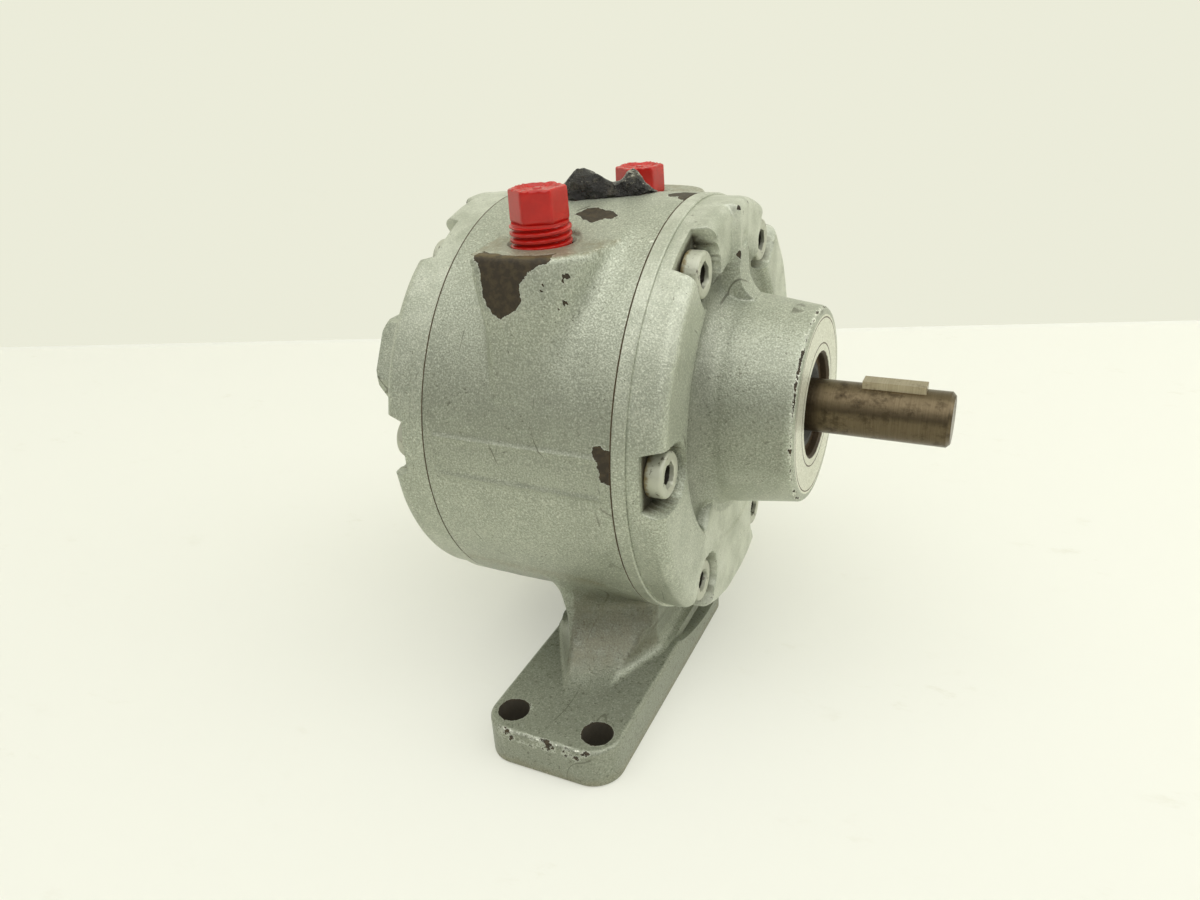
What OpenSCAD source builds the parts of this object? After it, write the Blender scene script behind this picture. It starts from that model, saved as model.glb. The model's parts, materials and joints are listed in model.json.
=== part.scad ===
/* [Body casting] */
// Thickness of the body's wall round the bore, which the cover rims share
body_wall = 16.5; // [14:0.5:20]
// Length of the body between its two joint faces
body_len = 58; // [54:1:70]
// Distance of the front joint face ahead of the foot's middle
front_face_x = 15.6; // [12:0.1:17]
// Diameter of the off-centre bore that the vanes sweep
bore_d = 95; // [90:0.5:96]
// Distance of the bore's axis below the shaft's axis
bore_offset = 4; // [3:0.1:5]
// Height of the shaft's axis above the mounting plane
shaft_height = 86; // [85:0.5:100]

/* [Foot] */
// Width of the foot plate along the shaft
foot_w = 41.2; // [40:0.1:50]
// Length of the foot plate across the shaft
foot_len = 101; // [98:0.5:116]
// Distance of the foot plate's drilled end from the shaft's plane
foot_near = 86; // [84:0.5:96]
// Thickness of the foot plate
foot_t = 12.7; // [10:0.1:16]
// Radius of the foot plate's corners in plan
foot_corner_r = 9; // [5:0.5:14]
// Distance of the foot holes from the foot plate's long sides
hole_side = 7.1; // [6:0.1:9]
// Distance of the foot holes from the foot plate's drilled end
hole_end = 8.2; // [7:0.1:12]
// Diameter of the foot holes
foot_hole_d = 8.5; // [6:0.1:10]
// Radius of the hollow flank between the body and the foot's drilled end
flank_r = 20; // [16:0.5:23]
// Distance of the pedestal's short flank from the shaft's plane at the foot
far_toe_y = 10; // [8:0.5:13]
// Distance of the pedestal's rear waist behind the foot's middle
pedestal_back = 11; // [8:0.5:14]
// Radius of the fillet between the pedestal's back and the body
pedestal_fillet_r = 14; // [10:0.5:15]
// Height of the pedestal's rear waist above the mounting plane
pedestal_waist_z = 24; // [22:0.5:28]
// Width of the buttress's toe between the foot holes
toe_w = 4; // [2:0.5:8]
// Distance of the buttress's shoulders from the shaft's plane
shoulder_y = 48; // [44:0.5:50]
// Distance of the rear flare's end from the shaft's plane
flare_y = 40; // [34:0.5:43]
// Hollow of the buttress's front side in plan
shoulder_hollow = 2.5; // [0:0.1:4]
// Radius of the clearance turned round the front cover into the foot
foot_relief_r = 76; // [74:0.5:78]

/* [Ports] */
// Distance of each port's axis in from the body's side
port_in = 29.5; // [28:0.5:32]
// Distance of the ports ahead of the body's middle
port_shift = -1.4; // [-3:0.1:3]
// Depth of the port bosses' faces below the crown
port_face_drop = 6.2; // [4:0.1:8]
// Radius of the boss at its face
port_boss_r = 18.5; // [16:0.5:20]
// Radius of the flat seat cut into the crown round each port
port_seat_r = 10.5; // [9:0.5:14]
// Radius of the boss's cone above its face
port_boss_head_r = 23.5; // [20:0.5:25]
// Radius of the boss where it fades into the body
port_boss_toe_r = 7; // [4:0.5:9]
// Length of the boss down the body's side
port_boss_len = 46; // [36:1:48]
// Lean of the boss outwards from the vertical
port_boss_lean = 22; // [16:1:26]
// Diameter of the tapped ports
port_d = 17.1; // [14:0.1:18]

/* [End covers] */
// Thickness of the thin rim beside the joint face
rim_t = 4; // [3:0.1:5]
// Step from the rim in to the cover's wall
rim_step = 0.8; // [0.4:0.1:1.5]
// Depth of the covers from the joint face to the raised edge
cover_t = 14; // [12.5:0.1:16]
// Depth of the covers at the dished face
dish_t = 10.5; // [9:0.1:12]
// Middle radius of the dish's sloping wall round the hub
dish_r = 43; // [41:0.5:46]
// Slope of the dish's wall, inwards and outwards of its middle
dish_draft = 2; // [0.5:0.1:3]
// Radius of the rounded outer edge
edge_r = 3.5; // [2:0.1:4]
// Depth of the seats under the screw heads
seat_t = 7.6; // [6:0.1:8.5]
// Width of the screw pockets
pocket_w = 17; // [15:0.1:18]
// Depth of the covers at the narrow upper rib
top_rib_t = 16; // [14.5:0.1:18]
// Width of the narrow upper rib
top_rib_w = 8; // [5:0.5:10]
// Radius of the fillet between the upper rib and the hub
top_rib_fillet_r = 10; // [5:0.5:12]
// Depth of the covers at the broad lower pad
pad_t = 13.6; // [11:0.1:13.9]
// Radius of the broad lower pad about the shaft's axis
pad_r = 49; // [46:0.5:52]
// Half of the angle that the broad lower pad spans
pad_half_angle = 43; // [30:1:50]

/* [Drive-end hub] */
// Distance of the hub's face from the joint face
hub_len = 38.4; // [36:0.1:44]
// Radius of the hub at its face
hub_face_r = 29.3; // [27:0.1:31]
// Radius of the hub at its root
hub_root_r = 31.8; // [31:0.1:34]
// Radius of the fillet between hub and dish
hub_fillet_r = 8; // [4:0.5:9]
// Radius of the rounded edge of the hub's face
hub_edge_r = 2.2; // [1:0.1:3]
// Diameter of the seal bore in the hub's face
seal_bore_d = 30.6; // [28:0.1:34]

/* [Dead-end boss] */
// Distance of the boss face from the joint face
boss_len = 37.6; // [35:0.1:42]
// Radius of the boss at its face
boss_face_r = 24.5; // [23.5:0.1:27]
// Radius of the boss at its root
boss_root_r = 27; // [26:0.1:30]
// Diameter of the thread that holds the end cap
cap_thread_d = 26; // [22:0.5:28]

/* [End cap] */
// Width of the end cap across its flats
cap_flats = 34.9; // [32:0.1:38]
// Length of the end cap's hexagon
cap_len = 14; // [8:0.5:16]
// Chamfer of the end cap's corners
cap_chamfer = 1.6; // [0.5:0.1:3]
// Length of the end cap's threaded spigot
cap_spigot = 4.4; // [3:0.1:4.6]
// Turn of the hexagon about the shaft's axis
cap_turn = 1; // [0:1:59]
// Diameter of the O-ring's cord
oring_cord = 1.6; // [1.2:0.1:2]

/* [Screws and dowels] */
// Distance of the cover screws' axes outside the bore
screw_wall = 6.5; // [5.5:0.1:7.5]
// Turn of the screw pattern about the bore's axis
screw_turn = -3; // [-8:1:8]
// Diameter of the screw threads
screw_d = 7.9; // [6:0.1:8]
// Diameter of the screw heads
head_d = 13; // [11:0.1:14]
// Height of the screw heads
head_h = 5; // [4:0.1:7]
// Chamfer of the screw heads
head_chamfer = 0.6; // [0.3:0.1:1]
// Width of the hexagon socket across its corners
socket_d = 7.4; // [5:0.1:8]
// Depth of the hexagon socket
socket_h = 3.2; // [2:0.1:3.6]
// Depth that the screws reach into the body
screw_grip = 15; // [10:0.5:16]
// Diameter of the dowel pins
dowel_d = 6; // [4:0.1:6.4]
// Length of the dowel pins
dowel_len = 14; // [8:0.5:16]

/* [Shaft] */
// Diameter of the output end
shaft_d = 15.875; // [14:0.005:16.5]
// Distance of the shaft's end from the hub's face
shaft_out = 38; // [34:0.5:50]
// Chamfer of the shaft's end
shaft_chamfer = 1; // [0.5:0.1:1.5]
// Diameter of the shaft at the bearings
seat_d = 17; // [16.6:0.1:20]
// Diameter of the shaft through the rotor
rotor_seat_d = 23; // [22:0.1:24]
// Length of the key
key_len = 17.4; // [10:0.1:20]
// Width and height of the key
key_w = 4.76; // [3:0.01:5]
// Height of the key above the shaft
key_proud = 1.8; // [1:0.1:2.2]
// Distance of the key's end from the shaft's end
key_end = 7.6; // [4:0.1:12]

/* [Rotor and vanes] */
// Gap between the rotor and the covers at each end
end_gap = 0.4; // [0.3:0.05:0.8]
// Gap between the rotor and the bore at the closest point
close_gap = 0.4; // [0.3:0.05:0.8]
// Thickness of the vanes
vane_t = 4; // [3:0.1:5]
// Radial height of the vanes
vane_h = 22; // [16:0.5:23]
// Gap beside and under each vane
vane_gap = 0.3; // [0.2:0.05:0.4]

/* [Bearings] */
// Outside diameter of the bearings
bearing_od = 40; // [38:0.5:42]
// Width of the bearings
bearing_w = 12; // [11:0.1:13]
// Distance of each bearing's inner side from the joint face
bearing_in = 16.6; // [16:0.1:17]
// Number of balls in each bearing
ball_count = 8; // [7:1:9]
// Diameter of the balls
ball_d = 6.7; // [6:0.1:7]
// Running gap between a ball and its grooves
ball_gap = 0.06; // [0.03:0.01:0.09]
// Distance of each race's shoulder from the balls' circle
race_gap = 2.1; // [1.8:0.05:2.4]
// Radial thickness of the cage
cage_t = 2.9; // [2:0.1:3.2]
// Width of the cage along the shaft
cage_w = 8.7; // [8:0.1:10]
// Thickness of the retaining ring
ring_t = 1.5; // [1:0.1:2]
// Thickness of the wave washer
washer_t = 1.5; // [1:0.1:2]

/* [Shaft seal] */
// Width of the seal
seal_w = 6; // [4:0.5:7]
// Depth of the seal behind the hub's face
seal_depth = 2.4; // [1:0.1:3]
// Radial thickness of the seal's metal case
seal_case_t = 2.5; // [1.5:0.1:4]
// Distance of the lip's edge from the seal's inner side
lip_back = 1.8; // [1:0.1:2.2]
// Width of the lip's edge along the shaft
lip_land = 0.6; // [0.3:0.1:1]
// Thickness of the rubber on the case behind the lip
lip_heel_t = 1.5; // [1:0.1:2]
// Depth of the hollow behind the lip
lip_hollow = 3; // [2.6:0.1:3.5]
// Running gap between the lip and the shaft
lip_gap = 0.05; // [0.02:0.01:0.1]

/* [Port plugs] */
// Width of the plugs' hexagon across its flats
plug_flats = 14.2; // [12:0.1:15]
// Height of the plugs' hexagon
plug_hex_h = 9; // [7:0.1:11]
// Length of the plugs' thread
plug_thread_len = 14; // [12:0.1:16]
// Thread left standing out on the near plug
plug_near_out = 5.6; // [0:0.1:8]
// Thread left standing out on the far plug
plug_far_out = 0.4; // [0:0.1:8]
// Turn of the plugs' hexagons about their axes
plug_turn = 24; // [0:1:59]
// Pitch of the plugs' thread
plug_pitch = 1.85; // [1:0.01:2]
// Depth of the plugs' thread
plug_thread_h = 1; // [0.4:0.05:1.2]
// Diameter of the hollow inside the plugs
plug_core_d = 10; // [6:0.1:11]
// Height of the hollow's roof inside the hexagon
plug_core_top = 4.5; // [2:0.5:5]

/* [Wrapping scrap] */
// Length of the torn scrap along the crown
scrap_len = 24; // [18:1:30]
// Height of the scrap's taller fold
scrap_h = 8; // [4:0.5:10]
// Height of the scrap's lower fold
scrap_low_h = 5.8; // [3:0.1:8]
// Width of the scrap across the crown at each fold
scrap_w = 13; // [9:0.5:16]
// Width and length of the ridge along the top of a fold
scrap_ridge = 3.5; // [2:0.5:5]
// Distance that the folds lie apart across the crown
scrap_skew = 5; // [2:0.5:8]
// Distance of the scrap's middle ahead of the ports
scrap_shift = 4; // [0:0.5:8]
// Thickness of the film left at the scrap's edge
scrap_edge_t = 0.5; // [0.3:0.1:1]
// Gap between the scrap and the crown
scrap_gap = 0.3; // [0.1:0.05:0.5]

/* [Hidden] */
$fn = 64;

// Overlap that joins solids and clears cuts
over = 1;
// Positions along the shaft
rear_face_x = front_face_x - body_len;
body_mid_x = front_face_x - body_len / 2;
hub_face_x = front_face_x + hub_len;
boss_face_x = rear_face_x - boss_len;
shaft_end_x = hub_face_x + shaft_out;
// Heights and radii
bore_z = shaft_height - bore_offset;
bore_r = bore_d / 2;
body_r = bore_r + body_wall;
body_d = 2 * body_r;
wall_r = body_r - rim_step;
rotor_r = bore_r - bore_offset - close_gap;
bearing_r = bearing_od / 2;
seat_r = seat_d / 2;
shaft_r = shaft_d / 2;
rotor_seat_r = rotor_seat_d / 2;
screw_circle_r = bore_r + screw_wall;
port_x = body_mid_x + port_shift;
port_y = body_r - port_in;
port_face_z = bore_z + body_r - port_face_drop;
// Distance between the two foot holes and their place across the shaft
hole_pitch_x = foot_w - 2 * hole_side;
hole_y = hole_end - foot_near;
// Centre of the hollow flank, level with the foot's top and touching the body
flank_z = foot_t + flank_r;
flank_y = sqrt(pow(body_r + flank_r, 2) - pow(bore_z - flank_z, 2));
// Short flank: its radius touches the foot's top at its toe and the body above
foot_drop = bore_z - foot_t;
far_rise = pow(far_toe_y, 2) + pow(foot_drop, 2) - pow(body_r, 2);
far_flank_r = max(0.5, far_rise / (2 * (body_r + foot_drop)));
// Rear end of the flare under the body
flare_x = -pedestal_back - pedestal_fillet_r;
// Distance of the bearings' outer sides from the joint faces
bearing_out = bearing_in + bearing_w;
// Number of cover screws at each end
screw_count = 6;
// Clearance of the screws in the covers
screw_clear = 0.4;
// Bearing race sections
pitch_r = (bearing_r + seat_r) / 2;
groove_r = ball_d / 2 + ball_gap;
// Depth of the slots under the rotor's surface
slot_h = vane_h + vane_gap;
slot_w = vane_t + 2 * vane_gap;
vane_inset = 0.1;
rotor_len = body_len - 2 * end_gap;
// Radial section of the retaining ring's groove
ring_bite = 1;
ring_wall = 3;
ring_opening = 70;
// O-ring gland in the cap's flange
oring_r = cap_thread_d / 2 + oring_cord;
// One turn of the plugs' thread: shares of its depth against shares of its pitch
thread_form = [[0, 0.1], [1, 0.4], [1, 0.6], [0, 0.9]];
// Key position
key_x = shaft_end_x - key_end - key_len;

casting_grey = [0.60, 0.64, 0.61];
screw_grey = [0.66, 0.67, 0.62];
worn_steel = [0.42, 0.36, 0.30];
bright_steel = [0.75, 0.76, 0.78];
plug_red = [0.85, 0.09, 0.10];
scrap_black = [0.10, 0.10, 0.10];
seal_black = [0.08, 0.08, 0.09];
vane_brown = [0.30, 0.22, 0.16];
cage_brass = [0.72, 0.58, 0.30];

// Puts children that stand on the XY plane onto the shaft's axis, standing along +X from x
module on_shaft(x) {
    translate([x, 0, shaft_height]) rotate([0, 90, 0]) children();
}

// Puts children that stand on the XY plane onto the bore's axis, standing along +X from x
module on_bore(x) {
    translate([x, 0, bore_z]) rotate([0, 90, 0]) children();
}

// Repeats children round the bore's axis with their local +Y pointing outwards
module screw_ring(x, radius, count, turn) {
    for (i = [0 : count - 1])
        translate([x, 0, bore_z]) rotate([turn + i * 360 / count, 0, 0]) translate([0, radius, 0])
            rotate([0, 90, 0]) children();
}

// Mirrors children, drawn for the front joint face, onto the rear joint face
module at_rear() {
    translate([rear_face_x, 0, 0]) mirror([1, 0, 0]) children();
}

module at_front() {
    translate([front_face_x, 0, 0]) children();
}

// Plan of the foot plate
module foot_plan() {
    dx = foot_w / 2 - foot_corner_r;
    dy = foot_len / 2 - foot_corner_r;
    translate([0, foot_len / 2 - foot_near]) {
        square([foot_w, 2 * dy], center = true);
        square([2 * dx, foot_len], center = true);
        for (sx = [-1, 1], sy = [-1, 1])
            translate([sx * dx, sy * dy]) circle(foot_corner_r);
    }
}

// Pedestal seen along the shaft: flanks hollowed by circles that touch both body and foot
module pedestal_front_view() {
    touch = body_r / (body_r + flank_r);
    far_touch = body_r / (body_r + far_flank_r);
    far_z = foot_t + far_flank_r;
    difference() {
        polygon([[-flank_y, foot_t - over], [far_toe_y, foot_t - over],
                 [far_touch * far_toe_y, bore_z - far_touch * (bore_z - far_z)], [0, bore_z],
                 [-touch * flank_y, bore_z - touch * (bore_z - flank_z)]]);
        translate([-flank_y, flank_z]) circle(flank_r);
        translate([far_toe_y, far_z]) circle(far_flank_r);
    }
}

// Pedestal seen across the shaft: back hollowed towards foot and body, front level with the joint face
module pedestal_side_view() {
    low_r = foot_w / 2 - pedestal_back;
    difference() {
        translate([flare_x, foot_t - over]) square([front_face_x - flare_x, bore_z - foot_t]);
        translate([-pedestal_back - low_r, foot_t + low_r]) circle(low_r);
        translate([flare_x, pedestal_waist_z]) circle(pedestal_fillet_r);
        translate([flare_x - over, foot_t - 2 * over])
            square([pedestal_fillet_r - low_r + over, pedestal_waist_z - foot_t + 2 * over]);
    }
}

// Plan of the pedestal below its waist: a buttress that narrows to a toe between the foot holes
module pedestal_plan() {
    mid_x = (front_face_x + toe_w / 2) / 2 - shoulder_hollow;
    mid_y = (shoulder_y + flank_y) / 2;
    polygon([[flare_x, far_toe_y], [flare_x, -flare_y], [-pedestal_back, -shoulder_y],
             [-toe_w / 2, -flank_y], [toe_w / 2, -flank_y], [mid_x, -mid_y],
             [front_face_x, -shoulder_y], [front_face_x, far_toe_y]]);
}

module pedestal() {
    intersection() {
        translate([-foot_w, 0, 0]) rotate([90, 0, 90]) linear_extrude(2 * foot_w) pedestal_front_view();
        translate([0, foot_near, 0]) rotate([90, 0, 0]) linear_extrude(2 * foot_near) pedestal_side_view();
        union() {
            linear_extrude(pedestal_waist_z) pedestal_plan();
            translate([-foot_w, -foot_near, pedestal_waist_z]) cube([2 * foot_w, 2 * foot_near, bore_z]);
        }
    }
}

// One port boss: a leaning cone cut off level at the spot face
module port_boss(side) {
    intersection() {
        translate([port_x, side * port_y, port_face_z]) rotate([180 + side * port_boss_lean, 0, 0])
            translate([0, 0, -port_boss_r])
                cylinder(h = port_boss_len + port_boss_r, r1 = port_boss_head_r, r2 = port_boss_toe_r);
        translate([rear_face_x, -body_d, bore_z]) cube([body_len, 2 * body_d, port_face_z - bore_z]);
    }
}

module body_casting() {
    color(casting_grey)
    difference() {
        union() {
            difference() {
                on_bore(rear_face_x) cylinder(h = body_len, r = body_r, $fn = 128);
                for (side = [-1, 1])
                    translate([port_x, side * port_y, port_face_z]) cylinder(h = body_r, r = port_seat_r);
            }
            for (side = [-1, 1])
                port_boss(side);
            pedestal();
            difference() {
                linear_extrude(foot_t) foot_plan();
                on_bore(front_face_x) cylinder(h = foot_w, r = foot_relief_r, $fn = 128);
            }
        }
        on_bore(rear_face_x - over) cylinder(h = body_len + 2 * over, r = bore_r, $fn = 128);
        for (side = [-1, 1])
            translate([port_x, side * port_y, bore_z + bore_offset]) cylinder(h = body_d, d = port_d);
        for (side = [-1, 1])
            translate([side * hole_pitch_x / 2, hole_y, -over])
                cylinder(h = foot_t + 2 * over, d = foot_hole_d);
        at_front() screw_ring(-screw_grip, screw_circle_r, screw_count, screw_turn)
            cylinder(h = screw_grip + over, d = screw_d);
        at_rear() screw_ring(-screw_grip, screw_circle_r, screw_count, screw_turn)
            cylinder(h = screw_grip + over, d = screw_d);
        at_front() dowel_ring() cylinder(h = dowel_len / 2 + over, d = dowel_d);
        at_rear() dowel_ring() cylinder(h = dowel_len / 2 + over, d = dowel_d);
    }
}

// Two dowel places between the screws, standing from inside the body
module dowel_ring() {
    screw_ring(-dowel_len / 2, screw_circle_r, 2, screw_turn + 180 / screw_count) children();
}

// Revolved section of a cover's disc: rim, wall with a rounded edge
module cover_section() {
    square([body_r, rim_t]);
    square([wall_r - edge_r, cover_t]);
    square([wall_r, cover_t - edge_r]);
    translate([wall_r - edge_r, cover_t - edge_r]) circle(edge_r);
}

// Plan of one screw pocket, open to the outside, its round end towards the axis
module pocket_plan() {
    circle(d = pocket_w);
    translate([-pocket_w / 2, 0]) square([pocket_w, body_r]);
}

// Disc that both covers share, with its dish, ribs, pockets and holes, before the hub is added
module cover_disc() {
    difference() {
        union() {
            difference() {
                on_bore(0) rotate_extrude($fn = 128) cover_section();
                on_shaft(dish_t) cylinder(h = cover_t, r1 = dish_r - dish_draft, r2 = dish_r + dish_draft);
            }
            intersection() {
                translate([0, -top_rib_w / 2, shaft_height]) cube([top_rib_t, top_rib_w, body_d]);
                on_bore(0) cylinder(h = body_d, r = wall_r, $fn = 128);
            }
            lower_pad();
        }
        screw_ring(seat_t, screw_circle_r, screw_count, screw_turn)
            linear_extrude(body_r) pocket_plan();
        screw_ring(-over, screw_circle_r, screw_count, screw_turn)
            cylinder(h = body_r, d = screw_d + 2 * screw_clear);
        dowel_ring() cylinder(h = dowel_len, d = dowel_d);
    }
}

// Broad pad below the hub: a sector about the shaft's axis
module lower_pad() {
    reach = 2 * pad_r;
    intersection() {
        on_shaft(0) cylinder(h = pad_t, r = pad_r, $fn = 128);
        translate([0, 0, shaft_height]) rotate([90, 0, 90]) linear_extrude(pad_t)
            polygon([[0, 0], [-reach * sin(pad_half_angle), -reach * cos(pad_half_angle)],
                     [reach * sin(pad_half_angle), -reach * cos(pad_half_angle)]]);
    }
}

// Fillet that carries the upper rib's crest up onto a hub of the given radius
module top_rib_fillet(radius) {
    translate([0, top_rib_w / 2, shaft_height]) rotate([90, 0, 0]) linear_extrude(top_rib_w) difference() {
        square([top_rib_t + top_rib_fillet_r, radius + top_rib_fillet_r]);
        translate([top_rib_t + top_rib_fillet_r, radius + top_rib_fillet_r]) circle(top_rib_fillet_r);
    }
}

// Hub of the drive-end cover with its draft, rounded edge and root fillet
module hub_section() {
    mid = hub_len - hub_edge_r;
    polygon([[0, 0], [hub_root_r, 0], [hub_root_r, dish_t], [hub_face_r, mid], [0, mid]]);
    square([hub_face_r - hub_edge_r, hub_len]);
    translate([hub_face_r - hub_edge_r, mid]) circle(hub_edge_r);
    difference() {
        translate([0, dish_t - over]) square([hub_root_r + hub_fillet_r, hub_fillet_r + over]);
        translate([hub_root_r + hub_fillet_r, dish_t + hub_fillet_r]) circle(hub_fillet_r);
    }
}

module drive_end_cover() {
    color(casting_grey)
    at_front() difference() {
        union() {
            cover_disc();
            top_rib_fillet(hub_face_r);
            on_shaft(0) rotate_extrude($fn = 96) hub_section();
        }
        on_shaft(-over) cylinder(h = bearing_out + over, r = bearing_r, $fn = 96);
        on_shaft(0) cylinder(h = hub_len + over, d = seal_bore_d, $fn = 96);
        on_shaft(bearing_in - ring_t) cylinder(h = ring_t, r = bearing_r + ring_bite, $fn = 96);
    }
}

// Boss of the dead-end cover with its draft and root fillet
module boss_section() {
    polygon([[0, 0], [boss_root_r, 0], [boss_root_r, dish_t], [boss_face_r, boss_len], [0, boss_len]]);
    difference() {
        translate([0, dish_t - over]) square([boss_root_r + hub_fillet_r, hub_fillet_r + over]);
        translate([boss_root_r + hub_fillet_r, dish_t + hub_fillet_r]) circle(hub_fillet_r);
    }
}

module dead_end_cover() {
    color(casting_grey)
    at_rear() difference() {
        union() {
            cover_disc();
            top_rib_fillet(boss_face_r);
            on_shaft(0) rotate_extrude($fn = 96) boss_section();
        }
        on_shaft(-over) cylinder(h = bearing_out + washer_t + over, r = bearing_r, $fn = 96);
        on_shaft(0) cylinder(h = boss_len + over, d = cap_thread_d);
    }
}

// One cap screw, its head's underside at the origin and its head along +Z
module cap_screw() {
    difference() {
        union() {
            cylinder(h = head_h - head_chamfer, d = head_d);
            translate([0, 0, head_h - head_chamfer])
                cylinder(h = head_chamfer, d1 = head_d, d2 = head_d - 2 * head_chamfer);
            translate([0, 0, -seat_t - screw_grip]) cylinder(h = seat_t + screw_grip + over, d = screw_d);
        }
        translate([0, 0, head_h - socket_h]) cylinder(h = socket_h + over, d = socket_d, $fn = 6);
    }
}

module drive_end_screws() {
    color(screw_grey) at_front() screw_ring(seat_t, screw_circle_r, screw_count, screw_turn) cap_screw();
}

module dead_end_screws() {
    color(screw_grey) at_rear() screw_ring(seat_t, screw_circle_r, screw_count, screw_turn) cap_screw();
}

module drive_end_dowels() {
    color(bright_steel) at_front() dowel_ring() cylinder(h = dowel_len, d = dowel_d);
}

module dead_end_dowels() {
    color(bright_steel) at_rear() dowel_ring() cylinder(h = dowel_len, d = dowel_d);
}

module end_cap() {
    corner_r = cap_flats / 2 / cos(30);
    color(casting_grey)
    difference() {
        union() {
            on_shaft(boss_face_x - cap_len) intersection() {
                rotate([0, 0, cap_turn + 30]) cylinder(h = cap_len, r = corner_r, $fn = 6);
                cylinder(h = 2 * corner_r, r1 = corner_r - cap_chamfer, r2 = 3 * corner_r - cap_chamfer);
            }
            on_shaft(boss_face_x - over) cylinder(h = cap_spigot + over, d = cap_thread_d);
        }
        on_shaft(boss_face_x - oring_cord) difference() {
            cylinder(h = oring_cord + over, r = oring_r + oring_cord / 2);
            translate([0, 0, -over]) cylinder(h = oring_cord + 3 * over, r = oring_r - oring_cord / 2);
        }
    }
}

module end_cap_oring() {
    color(seal_black)
    on_shaft(boss_face_x - oring_cord / 2) rotate_extrude()
        translate([oring_r, 0]) circle(d = oring_cord, $fn = 32);
}

module shaft() {
    front_seat_x = front_face_x + bearing_in;
    front_seat_end = front_face_x + bearing_out;
    rear_seat_x = rear_face_x - bearing_in;
    color(worn_steel)
    difference() {
        union() {
            on_shaft(rear_seat_x) cylinder(h = front_seat_x - rear_seat_x, r = rotor_seat_r);
            on_shaft(rear_seat_x - bearing_w) cylinder(h = bearing_w + over, r = seat_r);
            on_shaft(front_seat_x - over) cylinder(h = bearing_w + over, r = seat_r);
            on_shaft(front_seat_end - over)
                cylinder(h = shaft_end_x - front_seat_end + over - shaft_chamfer, r = shaft_r);
            on_shaft(shaft_end_x - shaft_chamfer)
                cylinder(h = shaft_chamfer, r1 = shaft_r, r2 = shaft_r - shaft_chamfer);
        }
        translate([key_x, -key_w / 2, shaft_height + shaft_r + key_proud - key_w])
            cube([key_len, key_w, key_w + over]);
    }
}

module shaft_key() {
    color(worn_steel)
    translate([key_x, -key_w / 2, shaft_height + shaft_r + key_proud - key_w]) cube([key_len, key_w, key_w]);
}

// Turns children from the top of the shaft's axis to the place of vane slot i
module at_slot(i) {
    translate([rear_face_x + end_gap, 0, shaft_height]) rotate([45 + 90 * i, 0, 0]) children();
}

module rotor() {
    color(bright_steel)
    difference() {
        on_shaft(rear_face_x + end_gap) cylinder(h = rotor_len, r = rotor_r, $fn = 128);
        on_shaft(rear_face_x) cylinder(h = body_len, r = rotor_seat_r);
        for (i = [0 : 3])
            at_slot(i) translate([-over, -slot_w / 2, rotor_r - slot_h])
                cube([rotor_len + 2 * over, slot_w, slot_h + over]);
    }
}

// One vane, drawn back fully into slot i, its outer edge rounded to run on the bore
module vane(i) {
    color(vane_brown)
    at_slot(i) intersection() {
        translate([0, -vane_t / 2, rotor_r - vane_inset - vane_h]) cube([rotor_len, vane_t, vane_h]);
        translate([-over, 0, rotor_r - vane_inset - vane_t]) rotate([0, 90, 0]) union() {
            cylinder(h = rotor_len + 2 * over, r = vane_t);
            translate([0, -vane_t, 0]) cube([vane_h, 2 * vane_t, rotor_len + 2 * over]);
        }
    }
}

module vane_1() { vane(0); }
module vane_2() { vane(1); }
module vane_3() { vane(2); }
module vane_4() { vane(3); }

// Section of a race between two radii with the ball groove cut out, standing from 0 to the bearing's width
module race_section(inner, outer) {
    difference() {
        translate([inner, 0]) square([outer - inner, bearing_w]);
        translate([pitch_r, bearing_w / 2]) circle(groove_r);
    }
}

module outer_race() {
    rotate_extrude($fn = 96) race_section(pitch_r + race_gap, bearing_r);
}

module inner_race() {
    rotate_extrude($fn = 96) race_section(seat_r, pitch_r - race_gap);
}

module ball_set() {
    for (i = [0 : ball_count - 1])
        rotate([0, 0, i * 360 / ball_count]) translate([pitch_r, 0, bearing_w / 2])
            sphere(d = ball_d, $fn = 32);
}

module cage() {
    difference() {
        translate([0, 0, (bearing_w - cage_w) / 2]) rotate_extrude()
            translate([pitch_r - cage_t / 2, 0]) square([cage_t, cage_w]);
        for (i = [0 : ball_count - 1])
            rotate([0, 0, i * 360 / ball_count]) translate([0, 0, bearing_w / 2]) rotate([0, 90, 0])
                cylinder(h = bearing_r, r = groove_r, $fn = 32);
    }
}

module drive_bearing_place() {
    on_shaft(front_face_x + bearing_in) children();
}

module dead_bearing_place() {
    on_shaft(rear_face_x - bearing_out) children();
}

module drive_bearing_outer() { color(bright_steel) drive_bearing_place() outer_race(); }
module drive_bearing_inner() { color(bright_steel) drive_bearing_place() inner_race(); }
module drive_bearing_balls() { color(bright_steel) drive_bearing_place() ball_set(); }
module drive_bearing_cage() { color(cage_brass) drive_bearing_place() cage(); }
module dead_bearing_outer() { color(bright_steel) dead_bearing_place() outer_race(); }
module dead_bearing_inner() { color(bright_steel) dead_bearing_place() inner_race(); }
module dead_bearing_balls() { color(bright_steel) dead_bearing_place() ball_set(); }
module dead_bearing_cage() { color(cage_brass) dead_bearing_place() cage(); }

module retaining_ring() {
    color(bright_steel)
    on_shaft(front_face_x + bearing_in - ring_t) difference() {
        cylinder(h = ring_t, r = bearing_r + ring_bite, $fn = 96);
        translate([0, 0, -over]) cylinder(h = ring_t + 2 * over, r = bearing_r - ring_wall, $fn = 96);
        translate([0, 0, -over]) linear_extrude(ring_t + 2 * over)
            polygon([[0, 0], 2 * bearing_r * [cos(ring_opening / 2), sin(ring_opening / 2)],
                     2 * bearing_r * [cos(ring_opening / 2), -sin(ring_opening / 2)]]);
    }
}

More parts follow.
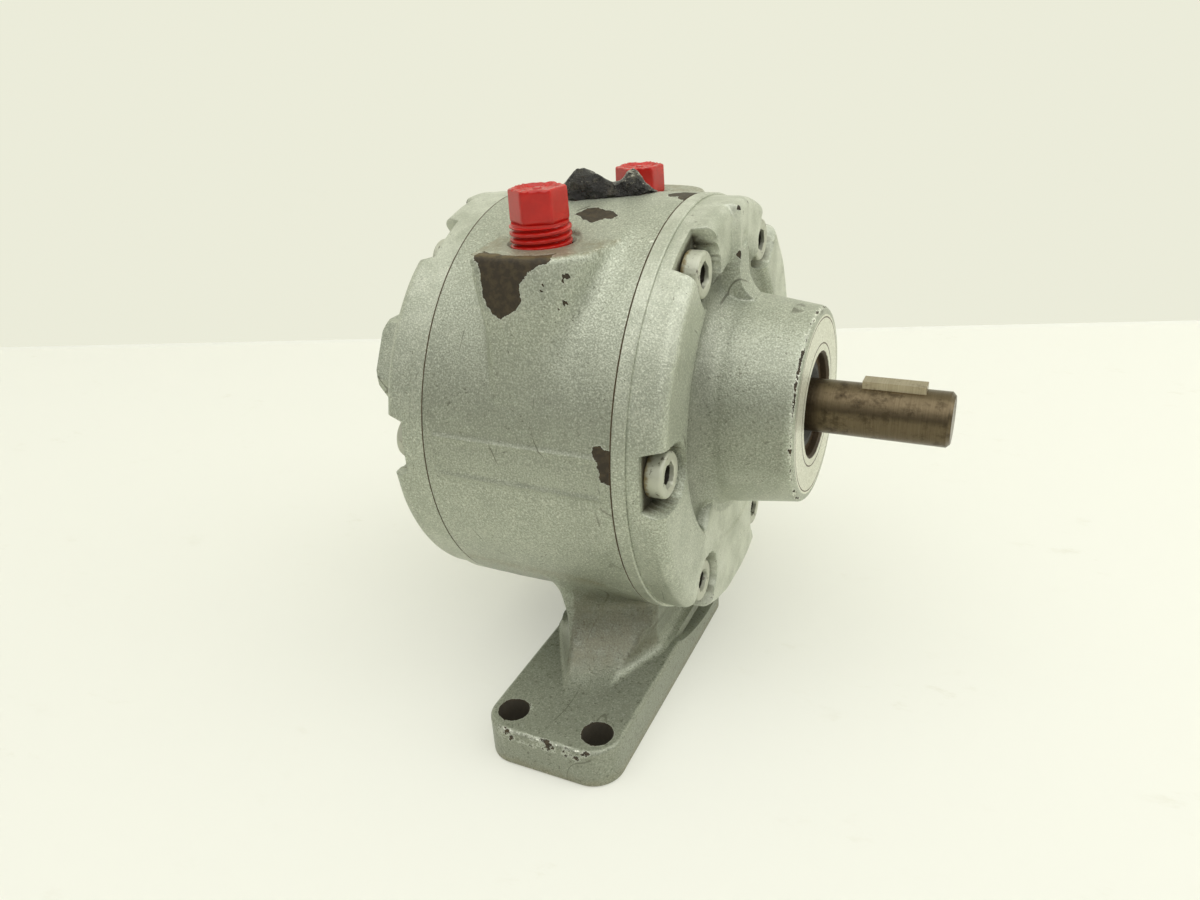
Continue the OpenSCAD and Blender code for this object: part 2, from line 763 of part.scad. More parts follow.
module wave_washer() {
    color(bright_steel)
    on_shaft(rear_face_x - bearing_out - washer_t) difference() {
        cylinder(h = washer_t, r = bearing_r, $fn = 96);
        translate([0, 0, -over]) cylinder(h = washer_t + 2 * over, r = pitch_r + race_gap, $fn = 96);
    }
}

module seal_case() {
    color(bright_steel)
    on_shaft(hub_face_x - seal_depth - seal_w) difference() {
        cylinder(h = seal_w, d = seal_bore_d, $fn = 96);
        translate([0, 0, -over]) cylinder(h = seal_w + 2 * over, r = seal_bore_d / 2 - seal_case_t, $fn = 96);
    }
}

module seal_lip() {
    outer = seal_bore_d / 2 - seal_case_t;
    lip_r = shaft_r + lip_gap;
    color(seal_black)
    on_shaft(hub_face_x - seal_depth - seal_w) rotate_extrude($fn = 96)
        polygon([[lip_r, lip_back], [lip_r, lip_back + lip_land], [outer - lip_heel_t, seal_w],
                 [outer, seal_w], [outer, 0], [outer - lip_heel_t, 0], [outer - lip_heel_t, lip_hollow]]);
}

// A plug standing on its port face, with the given length of thread left out of the port
module port_plug(side, out) {
    crests = floor(plug_thread_len / plug_pitch);
    major = port_d / 2;
    top_thread = crests * plug_pitch;
    corner_r = plug_flats / 2 / cos(30);
    color(plug_red)
    translate([port_x, side * port_y, port_face_z + out - top_thread]) difference() {
        union() {
            rotate_extrude() polygon(concat([[0, 0]],
                [for (i = [0 : crests - 1], step = thread_form)
                    [major - plug_thread_h * (1 - step[0]), (i + step[1]) * plug_pitch]],
                [[0, top_thread]]));
            translate([0, 0, top_thread - over]) rotate([0, 0, plug_turn])
                cylinder(h = plug_hex_h + over, r = corner_r, $fn = 6);
        }
        translate([0, 0, -over]) cylinder(h = top_thread + plug_core_top + over, d = plug_core_d);
    }
}

module plug_near() { port_plug(-1, plug_near_out); }
module plug_far() { port_plug(1, plug_far_out); }

// One fold of the scrap: a broad foot on the crown drawn up to a small ridge
module scrap_fold(height) {
    foot_h = scrap_edge_t + body_r - sqrt(pow(body_r, 2) - pow(scrap_w, 2));
    hull() {
        translate([-scrap_len / 4, -scrap_w / 2, scrap_edge_t - foot_h])
            cube([scrap_len / 2, scrap_w, foot_h]);
        translate([-scrap_ridge / 2, -scrap_ridge / 2, height - scrap_edge_t])
            cube([scrap_ridge, scrap_ridge, scrap_edge_t]);
    }
}

// Crumpled scrap: a taller and a lower fold side by side, lying on the crown
module wrapping_scrap() {
    color(scrap_black)
    difference() {
        translate([port_x + scrap_shift, 0, bore_z + body_r + scrap_gap]) union() {
            translate([-scrap_len / 4, -scrap_skew / 2, 0]) scrap_fold(scrap_h);
            translate([scrap_len / 4 - scrap_edge_t, scrap_skew / 2, 0]) scrap_fold(scrap_low_h);
        }
        on_bore(rear_face_x) cylinder(h = body_len, r = body_r + scrap_gap, $fn = 128);
    }
}

body_casting();
drive_end_cover();
dead_end_cover();
drive_end_screws();
dead_end_screws();
drive_end_dowels();
dead_end_dowels();
end_cap();
end_cap_oring();
shaft();
shaft_key();
rotor();
vane_1();
vane_2();
vane_3();
vane_4();
drive_bearing_outer();
drive_bearing_inner();
drive_bearing_balls();
drive_bearing_cage();
dead_bearing_outer();
dead_bearing_inner();
dead_bearing_balls();
dead_bearing_cage();
retaining_ring();
wave_washer();
seal_case();
seal_lip();
plug_near();
plug_far();
wrapping_scrap();
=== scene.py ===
"""Air vane motor: cast surfaces, finishes, floor and light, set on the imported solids.

Lengths are millimetres until a mesh, lamp or camera is made. X runs along the shaft and Z is up.
"""

import json
import logging
import math
from collections.abc import Callable
from dataclasses import dataclass, field
from enum import Enum

import bmesh
import bpy
import numpy as np
from mathutils import Matrix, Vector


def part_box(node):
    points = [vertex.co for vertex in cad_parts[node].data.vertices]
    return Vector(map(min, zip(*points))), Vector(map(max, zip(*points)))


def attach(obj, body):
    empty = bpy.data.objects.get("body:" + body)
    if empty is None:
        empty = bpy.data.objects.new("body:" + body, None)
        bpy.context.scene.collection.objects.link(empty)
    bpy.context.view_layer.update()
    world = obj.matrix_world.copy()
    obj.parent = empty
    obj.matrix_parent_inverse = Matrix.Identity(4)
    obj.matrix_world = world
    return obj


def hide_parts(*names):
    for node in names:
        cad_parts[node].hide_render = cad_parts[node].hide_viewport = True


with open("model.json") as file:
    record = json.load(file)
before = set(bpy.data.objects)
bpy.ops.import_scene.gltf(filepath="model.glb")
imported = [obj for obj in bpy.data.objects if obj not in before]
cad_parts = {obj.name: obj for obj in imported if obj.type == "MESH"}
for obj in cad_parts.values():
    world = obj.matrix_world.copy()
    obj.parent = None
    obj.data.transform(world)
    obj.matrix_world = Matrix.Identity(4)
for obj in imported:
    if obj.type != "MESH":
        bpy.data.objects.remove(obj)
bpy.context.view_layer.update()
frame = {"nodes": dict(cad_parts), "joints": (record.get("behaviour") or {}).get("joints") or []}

MM = 0.001
WELD = 0.000002
SIXTH = math.pi / 3.0
SCREW_CIRCLE_R = 54.0
SCREW_TURN = -3.0
SCREW_SEAT_T = 7.6
LOG = logging.getLogger("air_vane_motor")

Grid = np.ndarray
Socket = bpy.types.NodeSocket
Colour = tuple[float, float, float]
Place = tuple[float, float, float]
Pair = tuple[float, float]


def smooth(low: float, high: float, value: Grid) -> Grid:
    """A rise from 0 at low to 1 at high: three t squared less two t cubed."""
    t = np.clip((value - low) / (high - low), 0.0, 1.0)
    return t * t * (3.0 - 2.0 * t)


def fade(low: float, high: float, value: Grid) -> Grid:
    """A fall from 1 at low to 0 at high, the rest of a smooth rise."""
    return 1.0 - smooth(low, high, value)


def hump(value: Grid, centre: float, width: float) -> Grid:
    """A bell of height 1 about a centre: e to the minus square of the distance over the width."""
    return np.exp(-((value - centre) / width) ** 2)


def soft_max(first: Grid, second: Grid, width: float) -> Grid:
    """The greater of two values, with the corner where they cross rounded over width."""
    share = np.clip(0.5 + 0.5 * (first - second) / width, 0.0, 1.0)
    return second + (first - second) * share + width * share * (1.0 - share)


def soft_min(first: Grid, second: Grid, width: float) -> Grid:
    """The lesser of two values, with the corner where they cross rounded over width."""
    return -soft_max(-first, -second, width)


def lattice_noise(points: Grid, cell: float, seed: int) -> Grid:
    """Smooth noise from -1 to 1: hashed values at the corners of cubes, blended across each cube.

    Args:
        points: Places in millimetres, with x, y and z on the last axis.
        cell: Side of a cube in millimetres.
        seed: Number that picks the set of corner values.

    Returns:
        One value for each place.
    """
    scaled = points / cell
    base = np.floor(scaled).astype(np.int64)
    part = scaled - base
    part = part * part * (3.0 - 2.0 * part)
    primes = np.array([73856093, 19349663, 83492791], dtype=np.int64)
    total = np.zeros(points.shape[:-1])
    for corner in range(8):
        step = np.array([corner & 1, corner >> 1 & 1, corner >> 2 & 1])
        key = ((base + step) * primes).sum(axis=-1) + seed * 668265263
        key = (key ^ (key >> 13)) * 1274126177
        key = key ^ (key >> 16)
        share = np.prod(np.where(step == 1, part, 1.0 - part), axis=-1)
        total += ((key & 0xFFFF) / 32767.5 - 1.0) * share
    return total


def line(start: Pair, end: Pair, count: int) -> Grid:
    """Points evenly spaced on a straight line, both ends included."""
    return np.linspace(start, end, count)


def arc(centre: Pair, radius: float, start: float, end: float, count: int) -> Grid:
    """Points evenly spaced on an arc between two angles in degrees, both ends included."""
    turn = np.radians(np.linspace(start, end, count))
    return np.stack([centre[0] + radius * np.cos(turn), centre[1] + radius * np.sin(turn)], axis=-1)


def around(count: int) -> Grid:
    """Angles of evenly spaced columns round a full turn, in radians."""
    return np.linspace(0.0, 2.0 * np.pi, count, endpoint=False)


def hex_radius(turn: Grid, flats: float, corner: float) -> Grid:
    """Distance from the centre to a hexagon's side: half the flats over the cosine of the angle from
    the nearest flat's middle, kept under the corner radius with a soft edge."""
    off = np.mod(turn + SIXTH / 2.0, SIXTH) - SIXTH / 2.0
    return soft_min(flats / 2.0 / np.cos(off), np.full_like(off, corner), 0.25)


def outline_depth(first: Grid, second: Grid, outline: tuple[Pair, ...]) -> Grid:
    """How deep points lie inside a closed outline, negative outside it: the distance to the nearest
    side, signed by whether a ray to one side crosses an odd number of sides.

    Args:
        first: First coordinates of the points.
        second: Second coordinates of the points.
        outline: Corners of the outline in order.

    Returns:
        A depth in millimetres for each point.
    """
    nearest = np.full(first.shape, np.inf)
    inside = np.zeros(first.shape, dtype=bool)
    corners = np.array(outline)
    for (a, b), (c, d) in zip(corners, np.roll(corners, -1, axis=0)):
        run_a, run_b = c - a, d - b
        share = ((first - a) * run_a + (second - b) * run_b) / (run_a**2 + run_b**2)
        share = np.clip(share, 0.0, 1.0)
        nearest = np.minimum(nearest, np.hypot(first - a - share * run_a, second - b - share * run_b))
        level = (second - b) / (run_b if abs(run_b) > 1e-9 else 1e-9)
        inside ^= ((b > second) != (d > second)) & (first < a + run_a * level)
    return np.where(inside, nearest, -nearest)


def leaving_reach(inside: Callable[[Grid], Grid], low: Grid, high: Grid, steps: int) -> Grid:
    """How far along each ray a solid ends, found by halving the span between two reaches.

    Args:
        inside: Says of a reach along each ray whether it lies in the solid.
        low: Reaches that lie in the solid.
        high: Reaches that lie past it.
        steps: Number of halvings.

    Returns:
        The reach at which each ray leaves the solid.
    """
    for _ in range(steps):
        middle = (low + high) / 2.0
        within = inside(middle)
        low, high = np.where(within, middle, low), np.where(within, high, middle)
    return (low + high) / 2.0


def xyz(x: Grid, y: Grid, z: Grid) -> Grid:
    """Points made of three coordinates, each spread to the shape that they share."""
    return np.stack(np.broadcast_arrays(x, y, z), axis=-1)


def turned(along: Grid, radius: Grid, turn: Grid, centre_z: float) -> Grid:
    """Points on rings round an axis along X: each radius carried round by the angles.

    Args:
        along: Places along the axis.
        radius: Radii of the points.
        turn: Angles in radians.
        centre_z: Height of the axis.

    Returns:
        A grid of points.
    """
    return xyz(along, radius * np.cos(turn), centre_z + radius * np.sin(turn))


def upright(centre: Pair, radius: Grid, level: Grid, count: int) -> Grid:
    """Points on level rings round an upright axis, one ring for each radius and level.

    Args:
        centre: Where the axis stands.
        radius: Radius of each ring.
        level: Height of each ring.
        count: Points on a ring.

    Returns:
        A grid of points.
    """
    turn = around(count)
    x, y = radius[:, None] * np.cos(turn), radius[:, None] * np.sin(turn)
    return xyz(centre[0] + x, centre[1] + y, level[:, None])


def node_box(node: str) -> tuple[Grid, Grid]:
    """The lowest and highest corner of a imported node, in millimetres."""
    low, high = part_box(node)
    return np.array(low) / MM, np.array(high) / MM


@dataclass
class Skin:
    """Grids of points that together make the mesh of one piece."""

    points: list[Grid] = field(default_factory=list)
    faces: list[Grid] = field(default_factory=list)
    marks: dict[str, list[Grid]] = field(default_factory=dict)
    count: int = 0

    @classmethod
    def of(cls, grid: Grid, closed_rows: bool = False, **marks: Grid) -> "Skin":
        """A skin that starts with one grid and its marks."""
        skin = cls()
        skin.add(grid, closed_rows, **marks)
        return skin

    def add(self, grid: Grid, closed_rows: bool = False, **marks: Grid) -> None:
        """Adds a grid whose columns close on themselves.

        Args:
            grid: Points as rows by columns by three.
            closed_rows: Whether the last row joins the first one.
            **marks: Values for each point, rows by columns, kept as attributes of the mesh.
        """
        rows, columns = grid.shape[:2]
        index = np.arange(rows * columns).reshape(rows, columns) + self.count
        upper = np.roll(index, -1, axis=0) if closed_rows else index[1:]
        lower = index if closed_rows else index[:-1]
        quads = [lower, np.roll(lower, -1, axis=1), np.roll(upper, -1, axis=1), upper]
        self.faces.append(np.stack(quads, axis=-1).reshape(-1, 4))
        self.points.append(grid.reshape(-1, 3))
        for name in set(self.marks) | set(marks):
            kept = self.marks.setdefault(name, [np.zeros(self.count)] if self.count else [])
            kept.append(np.broadcast_to(marks.get(name, 0.0), (rows, columns)).ravel())
        self.count += rows * columns

    def mesh(self, name: str, sharp: float = 40.0) -> bpy.types.Mesh:
        """Makes the mesh in metres, welds seams and poles, and turns the faces outwards.

        Args:
            name: Name of the mesh.
            sharp: Angle in degrees past which an edge stays crisp.

        Returns:
            The new mesh.
        """
        places = np.concatenate(self.points) * MM
        quads = np.concatenate(self.faces).astype(np.int32)
        mesh = bpy.data.meshes.new(name)
        mesh.vertices.add(len(places))
        mesh.vertices.foreach_set("co", places.ravel())
        mesh.loops.add(quads.size)
        mesh.loops.foreach_set("vertex_index", quads.ravel())
        mesh.polygons.add(len(quads))
        mesh.polygons.foreach_set("loop_start", np.arange(0, quads.size, 4, dtype=np.int32))
        mesh.update(calc_edges=True)
        for mark, parts in self.marks.items():
            set_mark(mesh, mark, np.concatenate(parts))
        close_seams(mesh)
        shade(mesh, sharp)
        return mesh


def close_seams(mesh: bpy.types.Mesh) -> None:
    """Merges doubled points, drops faces without area and turns the faces outwards."""
    work = bmesh.new()
    work.from_mesh(mesh)
    bmesh.ops.remove_doubles(work, verts=work.verts, dist=WELD)
    bmesh.ops.dissolve_degenerate(work, edges=work.edges, dist=WELD)
    bmesh.ops.recalc_face_normals(work, faces=work.faces)
    work.to_mesh(mesh)
    work.free()


def shade(mesh: bpy.types.Mesh, sharp: float) -> None:
    """Shades a mesh smooth, with edges past the given angle in degrees left crisp."""
    mesh.shade_smooth()
    mesh.set_sharp_from_angle(angle=math.radians(sharp))


def set_mark(mesh: bpy.types.Mesh, mark: str, values: Grid) -> None:
    """Keeps one number for each point of a mesh as an attribute that a finish can read."""
    layer = mesh.attributes.get(mark) or mesh.attributes.new(mark, "FLOAT", "POINT")
    layer.data.foreach_set("value", np.clip(values, 0.0, 1.0).astype(np.float32))


def mesh_points(mesh: bpy.types.Mesh) -> Grid:
    """The points of a mesh in millimetres, as rows of x, y and z."""
    flat = np.empty(len(mesh.vertices) * 3, dtype=np.float32)
    mesh.vertices.foreach_get("co", flat)
    return flat.reshape(-1, 3).astype(float) / MM


def place_piece(
    name: str, mesh: bpy.types.Mesh, finish: bpy.types.Material, nodes: tuple[str, ...]
) -> bpy.types.Object:
    """Puts a mesh into the scene as a fixed piece of the housing.

    Args:
        name: Name of the piece.
        mesh: Its mesh, already in place.
        finish: Its material.
        nodes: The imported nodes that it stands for.

    Returns:
        The new object.
    """
    piece = bpy.data.objects.new(name, mesh)
    bpy.context.scene.collection.objects.link(piece)
    mesh.materials.clear()
    mesh.materials.append(finish)
    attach(piece, "housing")
    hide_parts(*nodes)
    LOG.info("%s: %d faces, stands for %s", name, len(mesh.polygons), ", ".join(nodes))
    return piece


class End(Enum):
    """Which end of the motor a cover closes."""

    DRIVE = "drive"
    DEAD = "dead"

    @property
    def side(self) -> float:
        """The way heights over the joint face run along X."""
        return 1.0 if self is End.DRIVE else -1.0


@dataclass(frozen=True)
class Datums:
    """Places that the pieces share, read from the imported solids, in millimetres."""

    front_x: float
    rear_x: float
    hub_x: float
    boss_x: float
    bore_z: float
    shaft_z: float
    body_r: float
    foot_half_w: float
    foot_near: float
    port_x: float
    port_y: float

    @classmethod
    def measure(cls) -> "Datums":
        """Reads the places from the node boxes and the rotor's joint."""
        drive_low, drive_high = node_box("drive_end_cover")
        dead_low, dead_high = node_box("dead_end_cover")
        foot_low, foot_high = node_box("body_casting")
        plug_low, plug_high = node_box("plug_far")
        spin = next(joint for joint in frame["joints"] if joint["name"] == "rotor_spin")
        return cls(
            front_x=drive_low[0],
            rear_x=dead_high[0],
            hub_x=drive_high[0],
            boss_x=dead_low[0],
            bore_z=(drive_low[2] + drive_high[2]) / 2.0,
            shaft_z=spin["pos_m"][2] / MM,
            body_r=(drive_high[1] - drive_low[1]) / 2.0,
            foot_half_w=foot_high[0],
            foot_near=-foot_low[1],
            port_x=(plug_low[0] + plug_high[0]) / 2.0,
            port_y=(plug_low[1] + plug_high[1]) / 2.0,
        )

    def face_x(self, end: End) -> float:
        """Where the cover of an end meets the body."""
        return self.front_x if end is End.DRIVE else self.rear_x


class FinishSheet:
    """One material's node tree, with short calls for the nodes that the finishes share."""

    def __init__(self, name: str) -> None:
        """Starts a material whose patterns sit on Object coordinates."""
        self.material = bpy.data.materials.new(name)
        self.material.use_nodes = True
        self.nodes = self.material.node_tree.nodes
        self.links = self.material.node_tree.links
        self.nodes.clear()
        self.output = self.nodes.new("ShaderNodeOutputMaterial")
        self.place = self.nodes.new("ShaderNodeTexCoord").outputs["Object"]

    def feed(self, socket: Socket, value: Socket | float | Colour) -> None:
        """Links a socket to another one, or sets it to a number or a colour."""
        if isinstance(value, bpy.types.NodeSocket):
            self.links.new(value, socket)
        elif isinstance(value, tuple) and len(socket.default_value) == 4:
            socket.default_value = (*value, 1.0)
        else:
            socket.default_value = value

    def stretched(self, scale: Place) -> Socket:
        """Object coordinates drawn out along the axes whose scale is under 1."""
        node = self.nodes.new("ShaderNodeMapping")
        self.links.new(self.place, node.inputs["Vector"])
        node.inputs["Scale"].default_value = scale
        return node.outputs["Vector"]

    def noise(
        self, size: float, detail: float = 3.0, rough: float = 0.55, vector: Socket | None = None
    ) -> Socket:
        """Noise about 0.5 whose grains are size millimetres across.

        Args:
            size: Size of a grain in millimetres.
            detail: Number of finer layers.
            rough: Share of the finer layers.
            vector: Coordinates, or none for the plain Object ones.

        Returns:
            The noise's value.
        """
        node = self.nodes.new("ShaderNodeTexNoise")
        self.links.new(vector or self.place, node.inputs["Vector"])
        node.inputs["Scale"].default_value = 1.0 / (size * MM)
        node.inputs["Detail"].default_value = detail
        node.inputs["Roughness"].default_value = rough
        return node.outputs["Fac"]

    def mark(self, name: str) -> Socket:
        """The value that a mesh keeps for each point under a name, or 0 where it has none."""
        node = self.nodes.new("ShaderNodeAttribute")
        node.attribute_name = name
        return node.outputs["Fac"]

    def math(self, step: str, first: Socket | float, second: Socket | float = 0.0) -> Socket:
        """One sum, product or other step on two values."""
        node = self.nodes.new("ShaderNodeMath")
        node.operation = step
        self.feed(node.inputs[0], first)
        self.feed(node.inputs[1], second)
        return node.outputs[0]

    def plus(self, first: Socket, second: Socket, share: float) -> Socket:
        """One value with a share of another added to it."""
        return self.math("ADD", first, self.math("MULTIPLY", second, share))

    def ramp(
        self, value: Socket, low: float, high: float, start: float = 0.0, end: float = 1.0
    ) -> Socket:
        """A soft rise from start where the value is low to end where it is high."""
        node = self.nodes.new("ShaderNodeMapRange")
        node.interpolation_type = "SMOOTHSTEP"
        self.links.new(value, node.inputs["Value"])
        for name, number in zip(("From Min", "From Max", "To Min", "To Max"), (low, high, start, end)):
            node.inputs[name].default_value = number
        return node.outputs["Result"]

    def mix(self, share: Socket | float, under: Socket | Colour, over: Socket | Colour) -> Socket:
        """One colour laid over another by a share from 0 to 1."""
        node = self.nodes.new("ShaderNodeMix")
        node.data_type = "RGBA"
        self.feed(node.inputs[0], share)
        self.feed(node.inputs[6], under)
        self.feed(node.inputs[7], over)
        return node.outputs[2]

    def bump(self, height: Socket, depth: float, under: Socket | None = None) -> Socket:
        """A normal that follows a height from 0 to 1 over a depth in millimetres."""
        node = self.nodes.new("ShaderNodeBump")
        node.inputs["Distance"].default_value = depth * MM
        self.links.new(height, node.inputs["Height"])
        if under is not None:
            self.links.new(under, node.inputs["Normal"])
        return node.outputs["Normal"]

    def principled(self, **sockets: Socket | float | Colour) -> bpy.types.Material:
        """Ends the sheet with a Principled shader.

        Args:
            **sockets: Values by socket name, with an underscore for each space.

        Returns:
            The finished material.
        """
        shader = self.nodes.new("ShaderNodeBsdfPrincipled")
        for name, value in sockets.items():
            self.feed(shader.inputs[name.replace("_", " ")], value)
        self.links.new(shader.outputs["BSDF"], self.output.inputs["Surface"])
        return self.material


@dataclass(frozen=True)
class CastingPaint:
    """Silver-green enamel sprayed on sand-cast iron, chipped to brown iron, worn and grimed, with painted
    light on lit faces and painted shade in hollows and on the shaded side.
    """

    name: str = "casting_paint_worn"
    shade: Colour = (0.315, 0.339, 0.267)
    light: Colour = (0.462, 0.491, 0.393)
    glint: Colour = (0.740, 0.765, 0.660)
    sand: Colour = (0.150, 0.160, 0.115)
    pit: Colour = (0.100, 0.100, 0.068)
    iron: Colour = (0.025, 0.017, 0.006)
    iron_light: Colour = (0.050, 0.035, 0.014)
    grime: Colour = (0.200, 0.150, 0.055)
    soot: Colour = (0.036, 0.032, 0.022)
    steel: Colour = (0.790, 0.800, 0.690)
    steel_dull: Colour = (0.560, 0.565, 0.450)
    rust: Colour = (0.095, 0.060, 0.028)

    def build(self) -> bpy.types.Material:
        """Lays paint, specks, painted light, grain with painted shade, wear, chips, grime, near-black
        painted shade, bare steel and rust over each other by their marks.
        """
        sheet = FinishSheet(self.name)
        speck = sheet.noise(0.5, 1.0, 0.6)
        mottle = sheet.noise(9.0, 3.0, 0.55)
        cloud = sheet.noise(24.0, 2.0, 0.5)
        ragged = sheet.noise(1.7, 4.0, 0.62)
        coarse = sheet.noise(3.2, 6.0, 0.72)
        tone = sheet.plus(sheet.math("MULTIPLY", speck, 0.80), mottle, 0.20)
        colour = sheet.mix(sheet.ramp(tone, 0.39, 0.61), self.shade, self.light)
        colour = sheet.mix(sheet.ramp(cloud, 0.42, 0.75, 0.0, 0.22), colour, self.shade)
        colour = sheet.mix(sheet.ramp(speck, 0.61, 0.74, 0.0, 0.5), colour, self.glint)
        # Painted light: the lit faces of the covers are lightened towards a pale tone, smeared by the
        # mottle.
        painted_light_tone = sheet.mix(sheet.ramp(mottle, 0.3, 0.7), self.light, self.glint)
        colour = sheet.mix(sheet.math("MULTIPLY", sheet.mark("fresh"), 0.55), colour, painted_light_tone)
        # Cast grain and painted shade: more pits, and the paint darkened towards a dark tone where shade
        # falls.
        sand = sheet.mark("sand")
        pit_level = sheet.plus(sheet.noise(1.1, 2.0, 0.7), sand, 0.04)
        pits = sheet.ramp(pit_level, 0.63, 0.71, 0.0, 0.65)
        patchy = sheet.math("MAXIMUM", sheet.ramp(sheet.noise(14.0, 2.0, 0.5), 0.45, 0.60), sand)
        colour = sheet.mix(sheet.math("MULTIPLY", sand, 0.52), colour, self.sand)
        colour = sheet.mix(sheet.math("MULTIPLY", pits, patchy), colour, self.pit)

        stroke = sheet.noise(16.0, 1.0, 0.4, sheet.stretched((1.0, 0.35, 0.55)))
        stroke = sheet.math("ABSOLUTE", sheet.math("SUBTRACT", stroke, 0.5))
        scored = sheet.ramp(sheet.noise(22.0, 3.0, 0.6), 0.56, 0.62, 0.0, 0.7)
        scratch = sheet.math("MULTIPLY", sheet.ramp(stroke, 0.003, 0.007, 1.0, 0.0), scored)
        colour = sheet.mix(scratch, colour, self.pit)

        wear_level = sheet.plus(sheet.mark("wear"), ragged, 1.1)
        wear = sheet.ramp(wear_level, 1.00, 1.12)
        colour = sheet.mix(wear, colour, self.glint)

        chip_level = sheet.plus(sheet.mark("chip"), coarse, 0.75)
        halo = sheet.ramp(chip_level, 0.81, 0.86, 0.0, 0.45)
        chip = sheet.ramp(chip_level, 0.865, 0.895)
        iron = sheet.mix(sheet.ramp(ragged, 0.40, 0.66), self.iron, self.iron_light)
        colour = sheet.mix(halo, colour, self.glint)
        colour = sheet.mix(chip, colour, iron)

        grime_level = sheet.math("MULTIPLY", sheet.mark("grime"), sheet.ramp(coarse, 0.30, 0.62))
        colour = sheet.mix(sheet.math("MULTIPLY", grime_level, 0.85), colour, self.grime)

        # Painted shade: near-black in the screw pockets, the foot holes, round the hub's root and on the
        # pedestal's front.
        soot = sheet.math("MULTIPLY", sheet.mark("soot"), sheet.ramp(coarse, 0.20, 0.50, 0.55, 1.0))
        colour = sheet.mix(soot, colour, self.soot)

        bare_level = sheet.plus(sheet.mark("bare"), coarse, 0.35)
        bare = sheet.ramp(bare_level, 0.62, 0.74)
        lines = sheet.noise(0.5, 2.0, 0.6, sheet.stretched((0.06, 1.0, 1.0)))
        steel = sheet.mix(sheet.ramp(lines, 0.30, 0.70), self.steel, self.steel_dull)
        colour = sheet.mix(bare, colour, steel)
        rust_level = sheet.plus(sheet.mark("rust"), coarse, 0.5)
        rust = sheet.ramp(rust_level, 0.68, 0.86)
        colour = sheet.mix(rust, colour, sheet.mix(ragged, self.rust, self.iron_light))

        skin = sheet.plus(sheet.math("MULTIPLY", speck, 0.7), coarse, 0.5)
        normal = sheet.bump(skin, 0.16)
        normal = sheet.bump(sheet.math("SUBTRACT", 1.0, chip), 0.16, normal)
        dull = sheet.math("MAXIMUM", chip, rust)
        rough = sheet.ramp(dull, 0.0, 1.0, 0.40, 0.62)
        sheen = sheet.ramp(dull, 0.0, 1.0, 0.45, 0.0)
        return sheet.principled(Base_Color=colour, Roughness=rough, Metallic=sheen, Normal=normal)


@dataclass(frozen=True)
class ScrewSteel:
    """Cap screws painted over with the casting, grimy yellow, with torn sockets darkened deeper down by
    painted shade.
    """

    name: str = "screw_steel_painted"
    paint: Colour = (0.480, 0.495, 0.400)
    steel: Colour = (0.300, 0.285, 0.225)
    grime: Colour = (0.200, 0.140, 0.045)
    dark: Colour = (0.030, 0.026, 0.018)

    def build(self) -> bpy.types.Material:
        """Lays paint over steel by noise, then grime and the sockets' painted shade by their marks."""
        sheet = FinishSheet(self.name)
        ragged = sheet.noise(1.4, 4.0, 0.62)
        fine = sheet.noise(0.5, 3.0, 0.6)
        bare = sheet.ramp(sheet.noise(2.6, 5.0, 0.68), 0.58, 0.65)
        colour = sheet.mix(bare, self.paint, sheet.mix(fine, self.steel, self.dark))
        stain = sheet.plus(sheet.mark("grime"), ragged, 0.8)
        colour = sheet.mix(sheet.ramp(stain, 0.70, 1.05, 0.0, 0.85), colour, self.grime)
        # Painted shade in the socket, darker towards its floor and ragged by noise.
        torn = sheet.plus(sheet.mark("dark"), ragged, 0.4)
        colour = sheet.mix(sheet.ramp(torn, 0.62, 0.85), colour, self.dark)
        normal = sheet.bump(ragged, 0.18)
        rough = sheet.ramp(bare, 0.0, 1.0, 0.42, 0.36)
        return sheet.principled(Base_Color=colour, Roughness=rough, Metallic=0.35, Normal=normal)


@dataclass(frozen=True)
class TurnedSteel:
    """Turned or ground steel with fine lines round the shaft's axis and a film of oil or rust."""

    name: str
    clean: Colour
    stain: Colour
    dark: Colour
    stained: float
    rough: float

    def build(self) -> bpy.types.Material:
        """Mixes clean steel and stain by noise, with turning lines drawn out round the axis."""
        sheet = FinishSheet(self.name)
        lines = sheet.noise(0.45, 3.0, 0.6, sheet.stretched((1.0, 0.05, 0.05)))
        patch = sheet.noise(4.5, 5.0, 0.65)
        fine = sheet.noise(0.9, 4.0, 0.65)
        level = sheet.plus(patch, fine, 0.45)
        cover = sheet.ramp(level, 0.95 - self.stained, 1.20 - self.stained)
        stain = sheet.mix(sheet.ramp(fine, 0.35, 0.65), self.dark, self.stain)
        ground = sheet.mix(sheet.ramp(lines, 0.2, 0.8, 0.0, 0.6), self.clean, self.stain)
        colour = sheet.mix(cover, ground, stain)
        normal = sheet.bump(sheet.math("ADD", lines, fine), 0.05)
        rough = sheet.ramp(cover, 0.0, 1.0, self.rough, self.rough + 0.16)
        return sheet.principled(Base_Color=colour, Roughness=rough, Metallic=0.85, Normal=normal)


